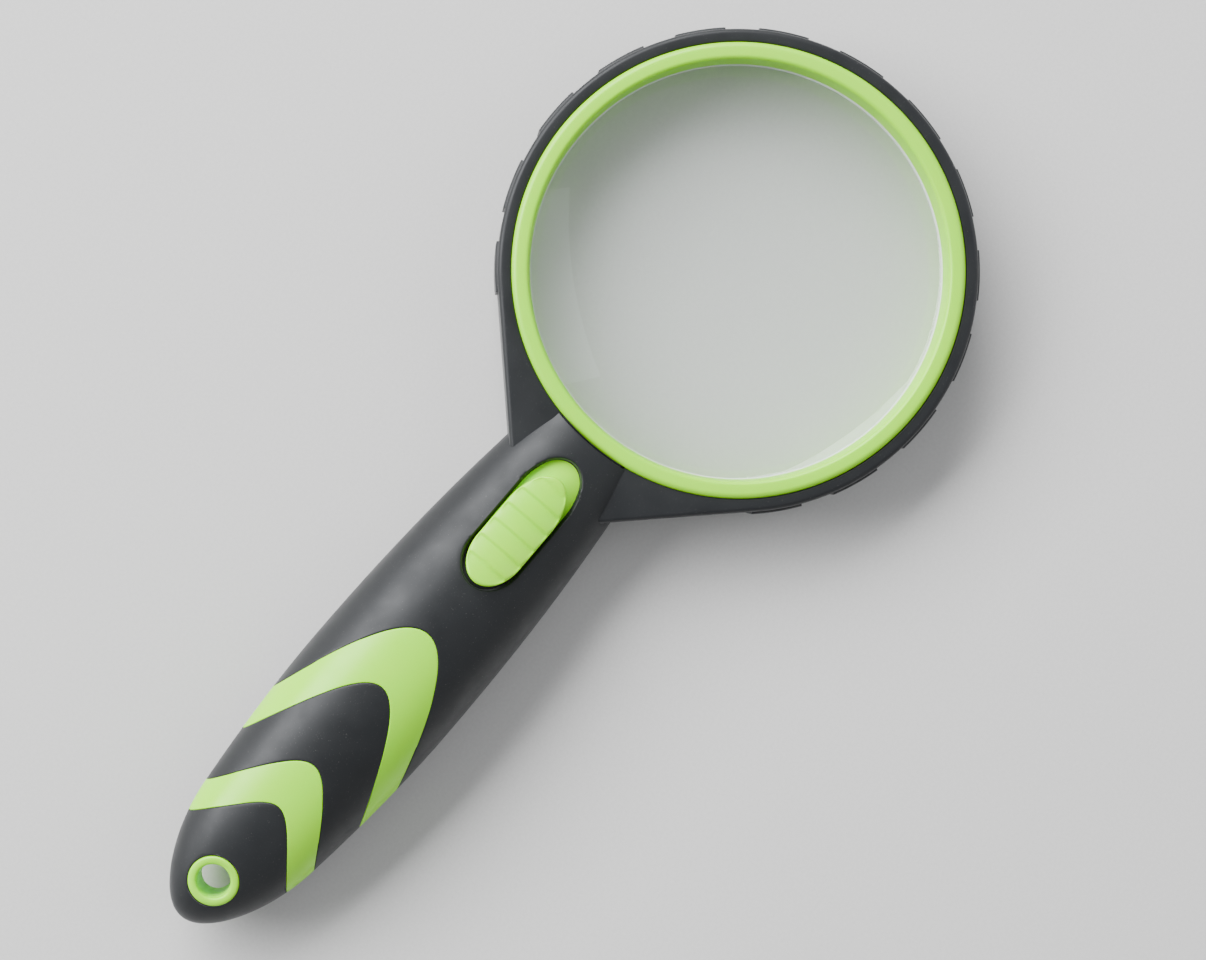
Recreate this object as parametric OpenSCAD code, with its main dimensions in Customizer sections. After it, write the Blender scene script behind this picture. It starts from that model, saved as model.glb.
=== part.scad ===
// Hand lens: a biconvex lens in a rubber-edged ring, on a soft-grip handle that
// carries a thumb slide, a small lamp over the reading side and a lanyard eye.
// +X points from the tail of the handle to the far edge of the ring, +Z out of the
// face that the user looks through. The object lies on the plane z = 0, and the
// origin is under the middle of its outer box.

/* [Lens] */
// Diameter of the lens
lens_d = 75; // [66:1:90]
// Radius of each polished face
lens_face_r = 200; // [150:5:320]
// Thickness of the lens at its ground edge
lens_edge_t = 2.4; // [1.8:0.1:3]
// How far the lens seat covers the edge of the lens
lens_cover = 0.9; // [0.7:0.1:1.4]

/* [Ring] */
// Wall of the soft channel round the lens edge
gasket_t = 0.8; // [0.6:0.1:1.2]
// Wall of the hard ring round the channel
frame_t = 1.8; // [1.4:0.1:2.6]
// Rubber outside the hard ring
rim_t = 2.25; // [1.6:0.05:3]
// Height of the rubber rim
rim_h = 12.8; // [11.6:0.2:15]
// Width of the coloured bezel seen from above
bezel_w = 3.4; // [2.6:0.1:3.6]
// How far each bezel stands proud of the rubber
bezel_proud = 0.8; // [0.4:0.1:1.2]
// Depth of the bezel flange that sits on the hard ring
bezel_flange_t = 2.4; // [1.8:0.1:2.8]

/* [Rim grip pads] */
// Number of raised pads round the rim
pad_count = 14; // [8:2:14]
// Angle from one pad to the next
pad_pitch = 20; // [16:1:20]
// Angle that one pad covers
pad_arc = 12; // [6:1:13]
// Height of a pad above the rim
pad_h = 0.45; // [0.2:0.05:0.8]

/* [Shoulders] */
// Direction on the rim, from the far edge, where a shoulder leaves it
shoulder_angle = 135; // [128:1:138]
// Distance of a shoulder tip from the middle of the handle
shoulder_tip_y = 9.6; // [9:0.1:11]
// Rubber round the hard web inside each shoulder
shoulder_skin = 1.8; // [1.2:0.1:2.4]

/* [Handle] */
// Length of the handle from the ring to the tail
handle_len = 109.2; // [104:0.2:132]
// Width of the handle at the ring
neck_w = 22; // [21:0.5:27]
// Greatest width of the handle
belly_w = 29; // [28:0.5:35]
// Width that the tail would have if it were not rounded off
tail_w = 18.6; // [17:0.2:24]
// Height of the back of the handle at the ring
neck_top = 15.4; // [15.2:0.1:16.6]
// Greatest height of the back of the handle
belly_top = 20.6; // [20.2:0.2:25]
// Height of the back at the tail before rounding
tail_top = 12.6; // [12:0.2:14]
// Lift of the underside at the ring
neck_lift = 0.5; // [0.2:0.1:0.9]
// Lift of the underside at the tail
tail_lift = 3.6; // [2:0.2:4]
// Distance from the ring to the widest place
belly_at = 56; // [52:1:62]
// Length of the rounded tail
tail_round = 20.9; // [16:0.1:26]
// Height of the joint between the two halves of the handle
part_z = 8.4; // [8:0.1:8.8]
// Thickness of the rubber grip
grip_t = 1.6; // [1.2:0.1:1.9]
// Wall of the hard shells
shell_t = 1.8; // [1.4:0.1:2]
// Gap between the handle and the hard ring
neck_gap = 0.2; // [0.15:0.05:0.4]

/* [Chevrons] */
// Distance from the pocket to the front of the large chevron
chevron_lead = 11.2; // [9:0.1:13]
// Distance from the large chevron to the small one
chevron_pitch = 29.9; // [28:0.1:34]
// Depth of the large chevron along the handle
chevron_large = 12; // [9:0.1:13]
// Depth of the small chevron along the handle
chevron_small = 9.4; // [7:0.1:10]

/* [Thumb slide] */
// Length of the pocket
pocket_len = 27.7; // [26:0.1:28.4]
// Width of the pocket
pocket_w = 10.8; // [10:0.1:12]
// Distance from the ring to the pocket
pocket_at = 4.1; // [3.6:0.1:4.6]
// Depth of the pocket at its middle
pocket_depth = 1.7; // [1.4:0.1:1.9]
// Length of the slide button
slide_len = 23.1; // [20:0.1:23.4]
// Gap between the button and the sides of the pocket
slide_side_gap = 0.65; // [0.4:0.05:0.9]
// How far the button travels to switch the lamp on
slide_travel = 3.5; // [2:0.1:3.6]
// How far the button stands above the back of the handle
slide_proud = 1.3; // [0.8:0.1:2]
// Number of thumb grooves across the button
groove_count = 6; // [4:1:6]
// Distance between grooves
groove_pitch = 3.57; // [3:0.01:3.6]

/* [Lanyard eye] */
// Bore of the eye
eye_bore_d = 5.8; // [4.6:0.1:6.2]
// Outer diameter of the eye
eye_d = 9.1; // [8.6:0.1:9.8]
// Distance from the eye to the tail end
eye_from_end = 9.3; // [8.4:0.1:10]

/* [Battery bay] */
// Diameter of a button cell
cell_d = 11.6; // [9.5:0.1:11.6]
// Thickness of a button cell
cell_t = 5.4; // [3.1:0.1:5.4]
// Number of button cells
cell_count = 3; // [2:1:3]
// Space for the contact spring
spring_space = 2.4; // [2:0.1:2.6]
// Wall of the battery bay
bay_wall = 1.2; // [1:0.1:1.4]
// Distance from the ring to the bay
bay_at = 34.9; // [34.6:0.1:36]
// Half width of the door
door_half_w = 7.6; // [7.4:0.1:8]
// Thickness of the door
door_t = 1.95; // [1.7:0.05:2.1]
// How far the door is set back from the underside
door_inset = 0.35; // [0.3:0.05:0.5]

/* [Screws] */
// Shank diameter of a housing screw
screw_d = 2.4; // [2:0.1:2.6]
// Length of the shank
screw_len = 9.6; // [8.6:0.1:10]
// Head diameter
screw_head_d = 4.4; // [4:0.1:4.6]
// Head height
screw_head_h = 1.4; // [1.2:0.1:1.6]
// Height of the seat under the heads
screw_seat_z = 3.2; // [3:0.1:3.6]
// Shank diameter of a door screw
door_screw_d = 2; // [1.6:0.1:2]

/* [Fits] */
// Clearance between parts that are pressed or laid together
fit_gap = 0.05; // [0.03:0.01:0.08]
// Clearance between parts that move past each other
slide_gap = 0.3; // [0.25:0.05:0.4]
// Clearance round the battery door
door_gap = 0.3; // [0.25:0.05:0.4]

/* [Hidden] */
$fn = 96;
eps = 0.01;

green = "#a8dc46";
black = "#2b2c2d";

// ---- levels and radii of the ring, from the lens outwards ----
rim_z0 = bezel_proud;
rim_z1 = rim_z0 + rim_h;
ring_mid_z = (rim_z0 + rim_z1) / 2;
bezel_z1 = rim_z1 + bezel_proud;
lens_r = lens_d / 2;
sight_r = lens_r - lens_cover;
gasket_r = lens_r + gasket_t;
frame_r = gasket_r + frame_t;
rim_r = frame_r + rim_t;
pad_r = rim_r + pad_h;
bezel_r = sight_r + bezel_w;
frame_z1 = bezel_z1 - bezel_flange_t;
frame_z0 = 2 * ring_mid_z - frame_z1;
lens_face_rise = sqrt(pow(lens_face_r, 2) - pow(lens_r, 2));
// Half thickness of the lens at the edge of the sight hole
lens_half_t = sqrt(pow(lens_face_r, 2) - pow(sight_r, 2)) - lens_face_rise + lens_edge_t / 2;
gasket_lip_t = 0.65;
gasket_half_h = lens_half_t + gasket_lip_t;

// ---- places along the object: u runs from the ring towards the tail ----
neck_r = frame_r + neck_gap;
far_x = pad_r * cos((pad_pitch - pad_arc) / 2);
ring_x = (neck_r + handle_len - far_x) / 2;
neck_x = ring_x - neck_r;
function hx(u) = neck_x - u;

pocket_end = pocket_at + pocket_len;
pocket_mid = pocket_at + pocket_len / 2;
large_at = pocket_end + chevron_lead;
small_at = large_at + chevron_pitch;
eye_at = handle_len - eye_from_end;

// ---- the handle's body: width, back and underside along u ----
front_power = 2.2;
rear_power = 1.8;
back_power = 1.9;
round_power = 2.2;
round_power_z = 6;
top_power = 2.1;
under_power = 2.5;
tail_begin = handle_len - tail_round;
end_share = 0.985;

// A value that rises from a at the ring to b at the belly and falls to c at the tail
function along(u, a, b, c, p, q) =
  u < belly_at
    ? b - (b - a) * pow((belly_at - u) / belly_at, p)
    : b - (b - c) * pow((u - belly_at) / (handle_len - belly_at), q);

// Rounding of the tail, 1 before it begins and 0 at the end
function tail_factor(u, end, p) =
  u < tail_begin ? 1 : sqrt(max(0, 1 - pow((u - tail_begin) / (end - tail_begin), p)));

function half_w(u, d, end) =
  (along(max(u, 0), neck_w / 2, belly_w / 2, tail_w / 2, front_power, rear_power) - d)
  * tail_factor(u, end, round_power);
function back_h(u, d, end) =
  (along(max(u, 0), neck_top, belly_top, tail_top, back_power, 2) - part_z - d)
  * tail_factor(u, end, round_power_z);
function under_h(u, d, end) =
  (part_z - d - (u < belly_at ? neck_lift : tail_lift)
    * pow(abs(u - belly_at) / (u < belly_at ? belly_at : handle_len - belly_at), 2))
  * tail_factor(u, end, round_power_z);

function spow(v, p) = sign(v) * pow(abs(v), p);
function ring_point(u, d, end, a) =
  let (up = sin(a) >= 0, n = up ? top_power : under_power)
  [
    hx(u),
    half_w(u, d, end) * spow(cos(a), 2 / n),
    part_z + (up ? back_h(u, d, end) : under_h(u, d, end)) * spow(sin(a), 2 / n)
  ];

// Body of the handle, d inside its surface, from u0 to the tail end less d
module handle_body(d, u0, end, rings, sides) {
  last = end - (end - tail_begin) * (1 - end_share);
  span = last - u0;
  // Rings stand closer together towards the tail
  us = [for (i = [0:rings - 1]) u0 + span * sin(90 * i / (rings - 1))];
  pts = concat(
    [for (u = us) for (k = [0:sides - 1]) ring_point(u, d, end, 360 * (k + 0.5) / sides)],
    [[hx(u0), 0, part_z], [hx(end), 0, part_z]]
  );
  front = rings * sides;
  faces = concat(
    [for (i = [0:rings - 2]) for (k = [0:sides - 1])
      let (a = i * sides + k, b = i * sides + (k + 1) % sides)
      each [[a, b, a + sides], [b, b + sides, a + sides]]],
    [for (k = [0:sides - 1]) [front, (k + 1) % sides, k]],
    [for (k = [0:sides - 1])
      [front + 1, front - sides + k, front - sides + (k + 1) % sides]]
  );
  polyhedron(points = pts, faces = faces, convexity = 4);
}

front_cut_u = -6;
outer_rings = 26;
outer_sides = 40;
core_rings = 18;
core_sides = 24;
module handle_outer(d = 0) handle_body(d, front_cut_u, handle_len - d, outer_rings, outer_sides);
module handle_core() handle_body(grip_t, front_cut_u, handle_len - grip_t, core_rings, core_sides);
module handle_cavity() {
  end = eye_at - eye_d / 2 - shell_t;
  handle_body(grip_t + shell_t, shell_t, end, 12, 16);
}

// Everything above or below the joint between the halves
half_gap = 0.03;
module above_joint() translate([-200, -50, part_z + half_gap]) cube([400, 100, 50]);
module below_joint() translate([-200, -50, -50]) cube([400, 100, 50 + part_z - half_gap]);
module ring_clear(r) translate([ring_x, 0, -5]) cylinder(r = r, h = 50);

// ---- outlines shared by several parts ----

// Oval that spans len along x about 0 and w across y, with half-ellipse ends
module oval(len, w, nose, tail) {
  steps = 16;
  polygon(concat(
    [for (i = [0:steps]) let (a = -90 + 180 * i / steps)
      [len / 2 - nose + nose * cos(a), w / 2 * sin(a)]],
    [for (i = [0:steps]) let (a = 90 + 180 * i / steps)
      [-len / 2 + tail + tail * cos(a), w / 2 * sin(a)]]
  ));
}

// Rectangle with round corners, from (x0, y0) to (x1, y1)
module soft_rect(x0, y0, x1, y1, r) {
  translate([x0 + r, y0]) square([x1 - x0 - 2 * r, y1 - y0]);
  translate([x0, y0 + r]) square([x1 - x0, y1 - y0 - 2 * r]);
  for (x = [x0 + r, x1 - r], y = [y0 + r, y1 - r]) translate([x, y]) circle(r);
}

module at_ring() translate([ring_x, 0, 0]) children();
module mirror_ring() translate([0, 0, 2 * ring_mid_z]) mirror([0, 0, 1]) children();

// ---- ring ----

module lens() {
  color("lightcyan", 0.4) at_ring() intersection() {
    translate([0, 0, ring_mid_z - lens_edge_t / 2 - 20]) cylinder(r = lens_r, h = lens_edge_t + 40);
    translate([0, 0, ring_mid_z + lens_edge_t / 2 - lens_face_rise]) sphere(r = lens_face_r, $fn = 200);
    translate([0, 0, ring_mid_z - lens_edge_t / 2 + lens_face_rise]) sphere(r = lens_face_r, $fn = 200);
  }
}

gasket_show = 0.2;
module lens_gasket() {
  groove = lens_half_t + fit_gap;
  color("whitesmoke") at_ring() rotate_extrude() difference() {
    translate([sight_r - gasket_show, ring_mid_z - gasket_half_h])
      square([gasket_r - sight_r + gasket_show, 2 * gasket_half_h]);
    translate([sight_r - 1, ring_mid_z - groove]) square([lens_r + fit_gap - sight_r + 1, 2 * groove]);
  }
}

// Web that stiffens both shoulders, drawn in plan, inset from the rubber outline
module shoulder_outline(inset) {
  a = shoulder_angle;
  r = rim_r - inset;
  tip_y = shoulder_tip_y - inset * 0.4;
  tip_x = -(r / cos(180 - a) - tip_y * tan(180 - a));
  polygon([
    [r * cos(a), r * sin(a)], [tip_x, tip_y], [tip_x, -tip_y], [r * cos(a), -r * sin(a)]
  ]);
}

tongue_half_w = 6.6;
tongue_len = 14;
tongue_z0 = 7.4;
tongue_z1 = 10.4;
web_z0 = 4.6;
web_z1 = 9.8;

module tongue(gap) {
  translate([hx(tongue_len + gap), -tongue_half_w - gap, tongue_z0 - gap])
    cube([tongue_len + 2 + gap, 2 * (tongue_half_w + gap), tongue_z1 - tongue_z0 + 2 * gap]);
}

module frame_solid(gap) {
  at_ring() {
    translate([0, 0, frame_z0 - gap]) cylinder(r = frame_r + gap, h = frame_z1 - frame_z0 + 2 * gap);
    translate([0, 0, web_z0 - gap]) linear_extrude(web_z1 - web_z0 + 2 * gap)
      shoulder_outline(shoulder_skin - gap);
  }
}

module rim_frame() {
  color("dimgray") difference() {
    union() {
      difference() {
        frame_solid(0);
        difference() {
          handle_outer(-slide_gap);
          ring_clear(frame_r);
        }
      }
      tongue(0);
    }
    ring_clear(gasket_r);
    front_screw_places() cylinder(d = screw_d + 2 * slide_gap, h = 30);
  }
}

// Ring that shows green round the lens, on the front; the back is its mirror image
bezel_round_r = 1.1;
bezel_slope = 0.5;
bezel_lip_h = 1.5;
module bezel() {
  at_ring() rotate_extrude() difference() {
    union() {
      difference() {
        soft_rect(sight_r, frame_z1 - 1, bezel_r - fit_gap, bezel_z1, bezel_round_r);
        translate([0, frame_z1 - 2]) square([rim_r, 2]);
      }
      translate([sight_r, ring_mid_z + gasket_half_h])
        square([gasket_r - fit_gap - sight_r, frame_z1 - ring_mid_z - gasket_half_h + 0.5]);
    }
    // Slope that opens the bezel towards the eye
    polygon([
      [sight_r - 1, ring_mid_z + gasket_half_h + bezel_lip_h],
      [sight_r, ring_mid_z + gasket_half_h + bezel_lip_h],
      [sight_r + bezel_slope, bezel_z1 + 1], [sight_r - 1, bezel_z1 + 1]
    ]);
  }
}
module front_bezel() { color(green) bezel(); }
module rear_bezel() { color(green) mirror_ring() bezel(); }

rim_round_r = 1;
pad_round_r = 0.9;
pad_inset = 1.2;
under_clear_slope = 0.18;
module rim_tyre() {
  color(black) difference() {
    at_ring() {
      rotate_extrude() soft_rect(frame_r - 3, rim_z0, rim_r, rim_z1, rim_round_r);
      translate([0, 0, rim_z0]) linear_extrude(rim_h) shoulder_outline(0);
      for (i = [0:pad_count - 1])
        rotate([0, 0, (i - (pad_count - 1) / 2) * pad_pitch - pad_arc / 2])
          rotate_extrude(angle = pad_arc)
            soft_rect(rim_r - 2, rim_z0 + pad_inset, pad_r, rim_z1 - pad_inset, pad_round_r);
    }
    frame_solid(0);
    at_ring() translate([0, 0, -1]) cylinder(r = bezel_r, h = rim_z1 + 5);
    difference() {
      union() {
        handle_outer(-fit_gap);
        // Keeps the rubber clear of the lamp window and the front screws
        at_ring() linear_extrude(part_z)
          polygon([[0, 0], [-70, 70 * under_clear_slope], [-70, -70 * under_clear_slope]]);
      }
      ring_clear(frame_r);
    }
  }
}

// ---- places in the handle ----
housing_x = [10.9, 68, 86];
front_screw_y = 4.2;
module front_screw_places(z = 0)
  for (y = [-front_screw_y, front_screw_y]) translate([hx(housing_x[0]), y, z]) children();
module rear_screw_places(z = 0)
  for (i = [1, 2]) translate([hx(housing_x[i]), 0, z]) children();
module screw_places(z = 0) {
  front_screw_places(z) children();
  rear_screw_places(z) children();
}
post_r = 2.6;
pilot_spare = 0.4;
pilot_top_z = screw_seat_z + screw_len + pilot_spare;

cell_r = cell_d / 2;
bay_r = cell_r + slide_gap;
cell_play = 0.2;
bay_len = spring_space + cell_count * cell_t + cell_play;
bay_inner_at = bay_at + bay_wall;
bay_end = bay_inner_at + bay_len + bay_wall;
door_top_z = door_inset + door_t;
cell_z = door_top_z + cell_r + cell_play;
door_screw_inset = 3;
door_overlap = 6;
door_corner_r = 2.5;
door_at = bay_at - door_overlap;
door_end = bay_end + door_overlap;
door_screw_u = [door_at + door_screw_inset, door_end - door_screw_inset];
door_screw_z = 0.7;
door_screw_head_d = 4;
door_screw_head_h = 1;
door_screw_len = 3.2;

lamp_u = 4.6;
lamp_y = 3;
window_half_w = 5.4;
window_half_l = 2.4;
window_ledge = 0.7;
window_z0 = 1.05;
window_t = 1.2;
window_corner_r = 1.2;

// Local axes of the thumb slide: x along the slope towards the ring, z out of the back
slope_step = 0.5;
slide_tilt = atan((back_at(pocket_mid + slope_step) - back_at(pocket_mid - slope_step))
  / (2 * slope_step));
function back_at(u) = part_z + back_h(u, 0, handle_len);
floor_r = 16;
module slide_frame()
  translate([hx(pocket_mid), 0, back_at(pocket_mid)]) rotate([0, slide_tilt, 0]) children();
slide_rear_gap = 0.55;
slide_rear = -pocket_len / 2 + slide_rear_gap;
slide_mid = slide_rear + slide_len / 2;
slide_w = pocket_w - 2 * slide_side_gap;
stem_back = 3.5;
stem_x = slide_mid - stem_back;
stem_len = 4;
stem_w = 3;
lever_w = 1.6;

// Round bar along the slope whose top is z below the back of the handle
module floor_bar(z, r) translate([-60, 0, -z - r]) rotate([0, 90, 0]) cylinder(r = r, h = 120);
pocket_nose = 8.2;
oval_tail = 6.8;
module pocket_prism(gap) translate([0, 0, -8]) linear_extrude(20)
  oval(pocket_len + 2 * gap, pocket_w + 2 * gap, pocket_nose, oval_tail);

// Half of a chevron's edge: a conic with a round tip at u, opening towards the tail
chevron_reach = 40;
chevron_steps = 14;
function edge_y(t, tip_r, spread) = sqrt(2 * tip_r * t + pow(spread * t, 2));
function edge_points(u, tip_r, spread, side) =
  [for (i = [0:chevron_steps]) let (t = chevron_reach * pow(i / chevron_steps, 2))
    [hx(u + t), side * edge_y(t, tip_r, spread)]];
function backwards(list) = [for (i = [len(list) - 1:-1:0]) list[i]];
function edge_outline(u, tip_r, spread) =
  concat(backwards(edge_points(u, tip_r, spread, 1)),
    [for (i = [1:chevron_steps]) edge_points(u, tip_r, spread, -1)[i]]);
module chevron(u, depth, tip_r, spread, inner_tip_r, inner_spread, gap) {
  translate([0, 0, part_z - 2]) linear_extrude(30) difference() {
    polygon(edge_outline(u - gap, tip_r, spread));
    polygon(edge_outline(u + depth + gap, inner_tip_r, inner_spread));
  }
}
// Tip radius and spread of each chevron's front edge, then of its rear edge
large_shape = [3.98, 0.05, 3, 0.32];
small_shape = [3, 0.53, 2.6, 0.7];
module chevrons(gap) {
  chevron(large_at, chevron_large, large_shape[0], large_shape[1], large_shape[2], large_shape[3], gap);
  chevron(small_at, chevron_small, small_shape[0], small_shape[1], small_shape[2], small_shape[3], gap);
}

module eye_hole(gap) translate([hx(eye_at), 0, -5]) cylinder(d = eye_d + 2 * gap, h = 40);

// ---- handle shells and grips ----

module upper_shell() {
  color(green) difference() {
    intersection() {
      union() {
        handle_core();
        intersection() {
          handle_outer();
          chevrons(0);
        }
      }
      above_joint();
    }
    difference() {
      handle_cavity();
      screw_places(0) cylinder(r = post_r, h = 40);
    }
    ring_clear(neck_r);
    tongue(fit_gap);
    screw_places(0) cylinder(d = screw_d + 2 * fit_gap, h = pilot_top_z);
    eye_hole(fit_gap);
    slide_frame() {
      // Floor of the pocket
      difference() {
        pocket_prism(fit_gap);
        floor_bar(pocket_depth, floor_r);
      }
      translate([stem_x - stem_len / 2 - slide_gap, -stem_w / 2 - slide_gap, -8])
        cube([stem_len + slide_travel + 2 * slide_gap, stem_w + 2 * slide_gap, 12]);
    }
  }
}

module lower_shell() {
  color(green) difference() {
    union() {
      difference() {
        intersection() {
          handle_core();
          below_joint();
        }
        difference() {
          handle_cavity();
          screw_places(0) cylinder(r = post_r, h = part_z);
          for (u = door_screw_u) translate([hx(u), 0, 0]) cylinder(r = post_r, h = board_z - slide_gap);
          // Posts under the circuit board
          for (u = [board_at + board_post_inset, board_at + board_len - board_post_inset],
              y = [-board_post_y, board_post_y])
            translate([hx(u), y, 0]) cylinder(r = board_post_r, h = board_z);
        }
      }
      bay_box();
    }
    bay_inside();
    ring_clear(neck_r);
    tongue(fit_gap);
    screw_places(-5) cylinder(d = screw_d + 2 * slide_gap, h = 40);
    screw_places(-5) cylinder(d = screw_head_d + 2 * slide_gap, h = 5 + screw_seat_z);
    for (u = door_screw_u) translate([hx(u), 0, 0]) cylinder(d = door_screw_d + 2 * fit_gap, h = part_z);
    eye_hole(fit_gap);
    door_prism(door_gap, door_top_z + fit_gap);
    // Opening under the lamp and the seat of its window
    translate([hx(lamp_u + window_half_l - window_ledge), -window_half_w + window_ledge, 0])
      cube([2 * (window_half_l - window_ledge), 2 * (window_half_w - window_ledge), 5]);
    window_prism(fit_gap);
  }
}

module bay_box() {
  translate([hx(bay_end), 0, cell_z]) rotate([0, 90, 0])
    cylinder(r = bay_r + bay_wall, h = bay_end - bay_at);
  translate([hx(bay_end), -bay_r - bay_wall, door_top_z])
    cube([bay_end - bay_at, 2 * (bay_r + bay_wall), cell_z - door_top_z]);
}
module bay_inside() {
  x0 = hx(bay_inner_at + bay_len);
  translate([x0, 0, cell_z]) rotate([0, 90, 0]) cylinder(r = bay_r, h = bay_len);
  translate([x0, -bay_r, -1]) cube([bay_len, 2 * bay_r, cell_z + 1]);
  // Notches that the tails of the contacts pass through
  notch_z = cell_z + tail_z - slide_gap;
  notch_h = tail_h + 2 * slide_gap;
  translate([x0 - eps, plate_half, notch_z]) cube([1, bay_r, notch_h]);
  translate([hx(bay_inner_at) - 1, -tail_y - 1, notch_z]) cube([bay_wall + 2, 2, notch_h]);
}
module door_prism(gap, top) translate([hx((door_at + door_end) / 2), 0, -1]) linear_extrude(top + 1)
  soft_rect(-(door_end - door_at) / 2 - gap, -door_half_w - gap,
    (door_end - door_at) / 2 + gap, door_half_w + gap, door_corner_r + gap);
module window_prism(gap) translate([hx(lamp_u), 0, -1])
  linear_extrude(1 + window_z0 + window_t + gap)
    soft_rect(-window_half_l - gap, -window_half_w - gap, window_half_l + gap, window_half_w + gap,
      window_corner_r + gap);

module upper_grip() {
  color(black) difference() {
    intersection() {
      handle_outer();
      above_joint();
    }
    handle_core();
    ring_clear(neck_r);
    chevrons(fit_gap);
    eye_hole(fit_gap);
    slide_frame() pocket_prism(fit_gap);
  }
}

module lower_grip() {
  color(black) difference() {
    intersection() {
      handle_outer();
      below_joint();
    }
    handle_core();
    ring_clear(neck_r);
    eye_hole(fit_gap);
    door_prism(door_gap, 5);
    window_prism(fit_gap);
    screw_places(-5) cylinder(d = screw_head_d + 2 * slide_gap, h = 10);
  }
}

// ---- thumb slide and the switch that it works ----

button_r = 14;
button_nose = 8;
groove_r = 0.9;
groove_sink = 0.55;
module thumb_slide() {
  color(green) slide_frame() difference() {
    union() {
      intersection() {
        translate([slide_mid, 0, -8]) linear_extrude(20) oval(slide_len, slide_w, button_nose, oval_tail);
        floor_bar(-slide_proud, button_r);
        difference() {
          translate([-40, -20, -10]) cube([80, 40, 30]);
          floor_bar(pocket_depth - slide_gap, floor_r);
        }
      }
      translate([stem_x - stem_len / 2, -stem_w / 2, -carrier_depth])
        cube([stem_len, stem_w, carrier_depth]);
    }
    for (i = [0:groove_count - 1])
      translate([
        slide_mid + ((groove_count - 1) / 2 - i) * groove_pitch, -20,
        slide_proud + groove_r * groove_sink
      ]) rotate([-90, 0, 0]) cylinder(r = groove_r, h = 40, $fn = 24);
  }
}

carrier_depth = 5.2;
carrier_t = 1;
carrier_len = 7;
carrier_w = 4.6;
module slide_carrier() {
  color("white") slide_frame() translate([stem_x, 0, -carrier_depth]) difference() {
    translate([-carrier_len / 2, -carrier_w / 2, 0]) cube([carrier_len, carrier_w, carrier_t]);
    translate([-stem_len / 2 - fit_gap, -stem_w / 2 - fit_gap, -1])
      cube([stem_len + 2 * fit_gap, stem_w + 2 * fit_gap, 4]);
  }
}

switch_len = 12.4;
switch_w = 6.2;
board_at = 14.8;
board_len = 15;
board_z = 5.4;
board_t = 1.2;
board_w = 12.8;
board_post_r = 1.2;
board_post_inset = 2;
board_post_y = 5;
switch_top = 4.9;
lever_len = 4;
module switch_lever() {
  color("black") slide_frame()
    translate([stem_x - lever_w / 2, -lever_w / 2, -carrier_depth - lever_len])
      cube([lever_w, lever_w, lever_len]);
}

slot_spare = 2;
module slide_switch() {
  mid_x = hx(pocket_mid) + (stem_x + slide_travel / 2) * cos(slide_tilt)
    - (carrier_depth + lever_len * 0.75) * sin(slide_tilt);
  slot_len = slide_travel + lever_w + slot_spare;
  z0 = board_z + board_t;
  color("silver") difference() {
    translate([mid_x - switch_len / 2, -switch_w / 2, z0]) cube([switch_len, switch_w, switch_top]);
    translate([mid_x - slot_len / 2, -lever_w / 2 - slide_gap, z0 + 1])
      cube([slot_len, lever_w + 2 * slide_gap, 10]);
  }
}

module circuit_board() {
  color("darkgreen") translate([hx(board_at + board_len), -board_w / 2, board_z])
    cube([board_len, board_w, board_t]);
}
resistor_size = [3.2, 1.6, 0.6];
resistor_at = board_at + 4;
resistor_y = 4;
module resistor() {
  color("black") translate([hx(resistor_at), resistor_y, board_z + board_t]) cube(resistor_size);
}

lamp_board_t = 1;
lamp_board_w = 12;
lamp_board_z = tongue_z0 - lamp_board_t - 0.2;
module lamp_board() {
  color("darkgreen") translate([hx(lamp_u + window_half_l), -lamp_board_w / 2, lamp_board_z])
    cube([2 * window_half_l, lamp_board_w, lamp_board_t]);
}
led_r = 1.5;
led_flange_w = 0.35;
led_flange_h = 0.8;
module led(y) {
  dome_z = window_z0 + window_t + slide_gap + led_r;
  color("lightyellow") translate([hx(lamp_u), y, 0]) {
    translate([0, 0, dome_z]) cylinder(r = led_r, h = lamp_board_z - dome_z);
    translate([0, 0, dome_z]) sphere(r = led_r);
    translate([0, 0, lamp_board_z - led_flange_h]) cylinder(r = led_r + led_flange_w, h = led_flange_h);
  }
}
module led_left() { led(lamp_y); }
module led_right() { led(-lamp_y); }
module lamp_window() {
  color("white", 0.5) intersection() {
    window_prism(0);
    translate([-200, -50, window_z0]) cube([400, 100, window_t]);
  }
}

// ---- battery ----

cell_cap_h = 0.54;
cell_cap_inset = 1.4;
cell_air = 0.03;
module button_cell(i) {
  u0 = bay_inner_at + spring_space + i * cell_t;
  color("silver") translate([hx(u0 + cell_t - cell_air), 0, cell_z]) rotate([0, 90, 0]) {
    cylinder(r = cell_r, h = cell_t - cell_cap_h - 2 * cell_air);
    cylinder(r = cell_r - cell_cap_inset, h = cell_t - 2 * cell_air);
  }
}
module button_cell_1() { button_cell(0); }
module button_cell_2() { button_cell(1); }
module button_cell_3() { button_cell(2); }

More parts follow.
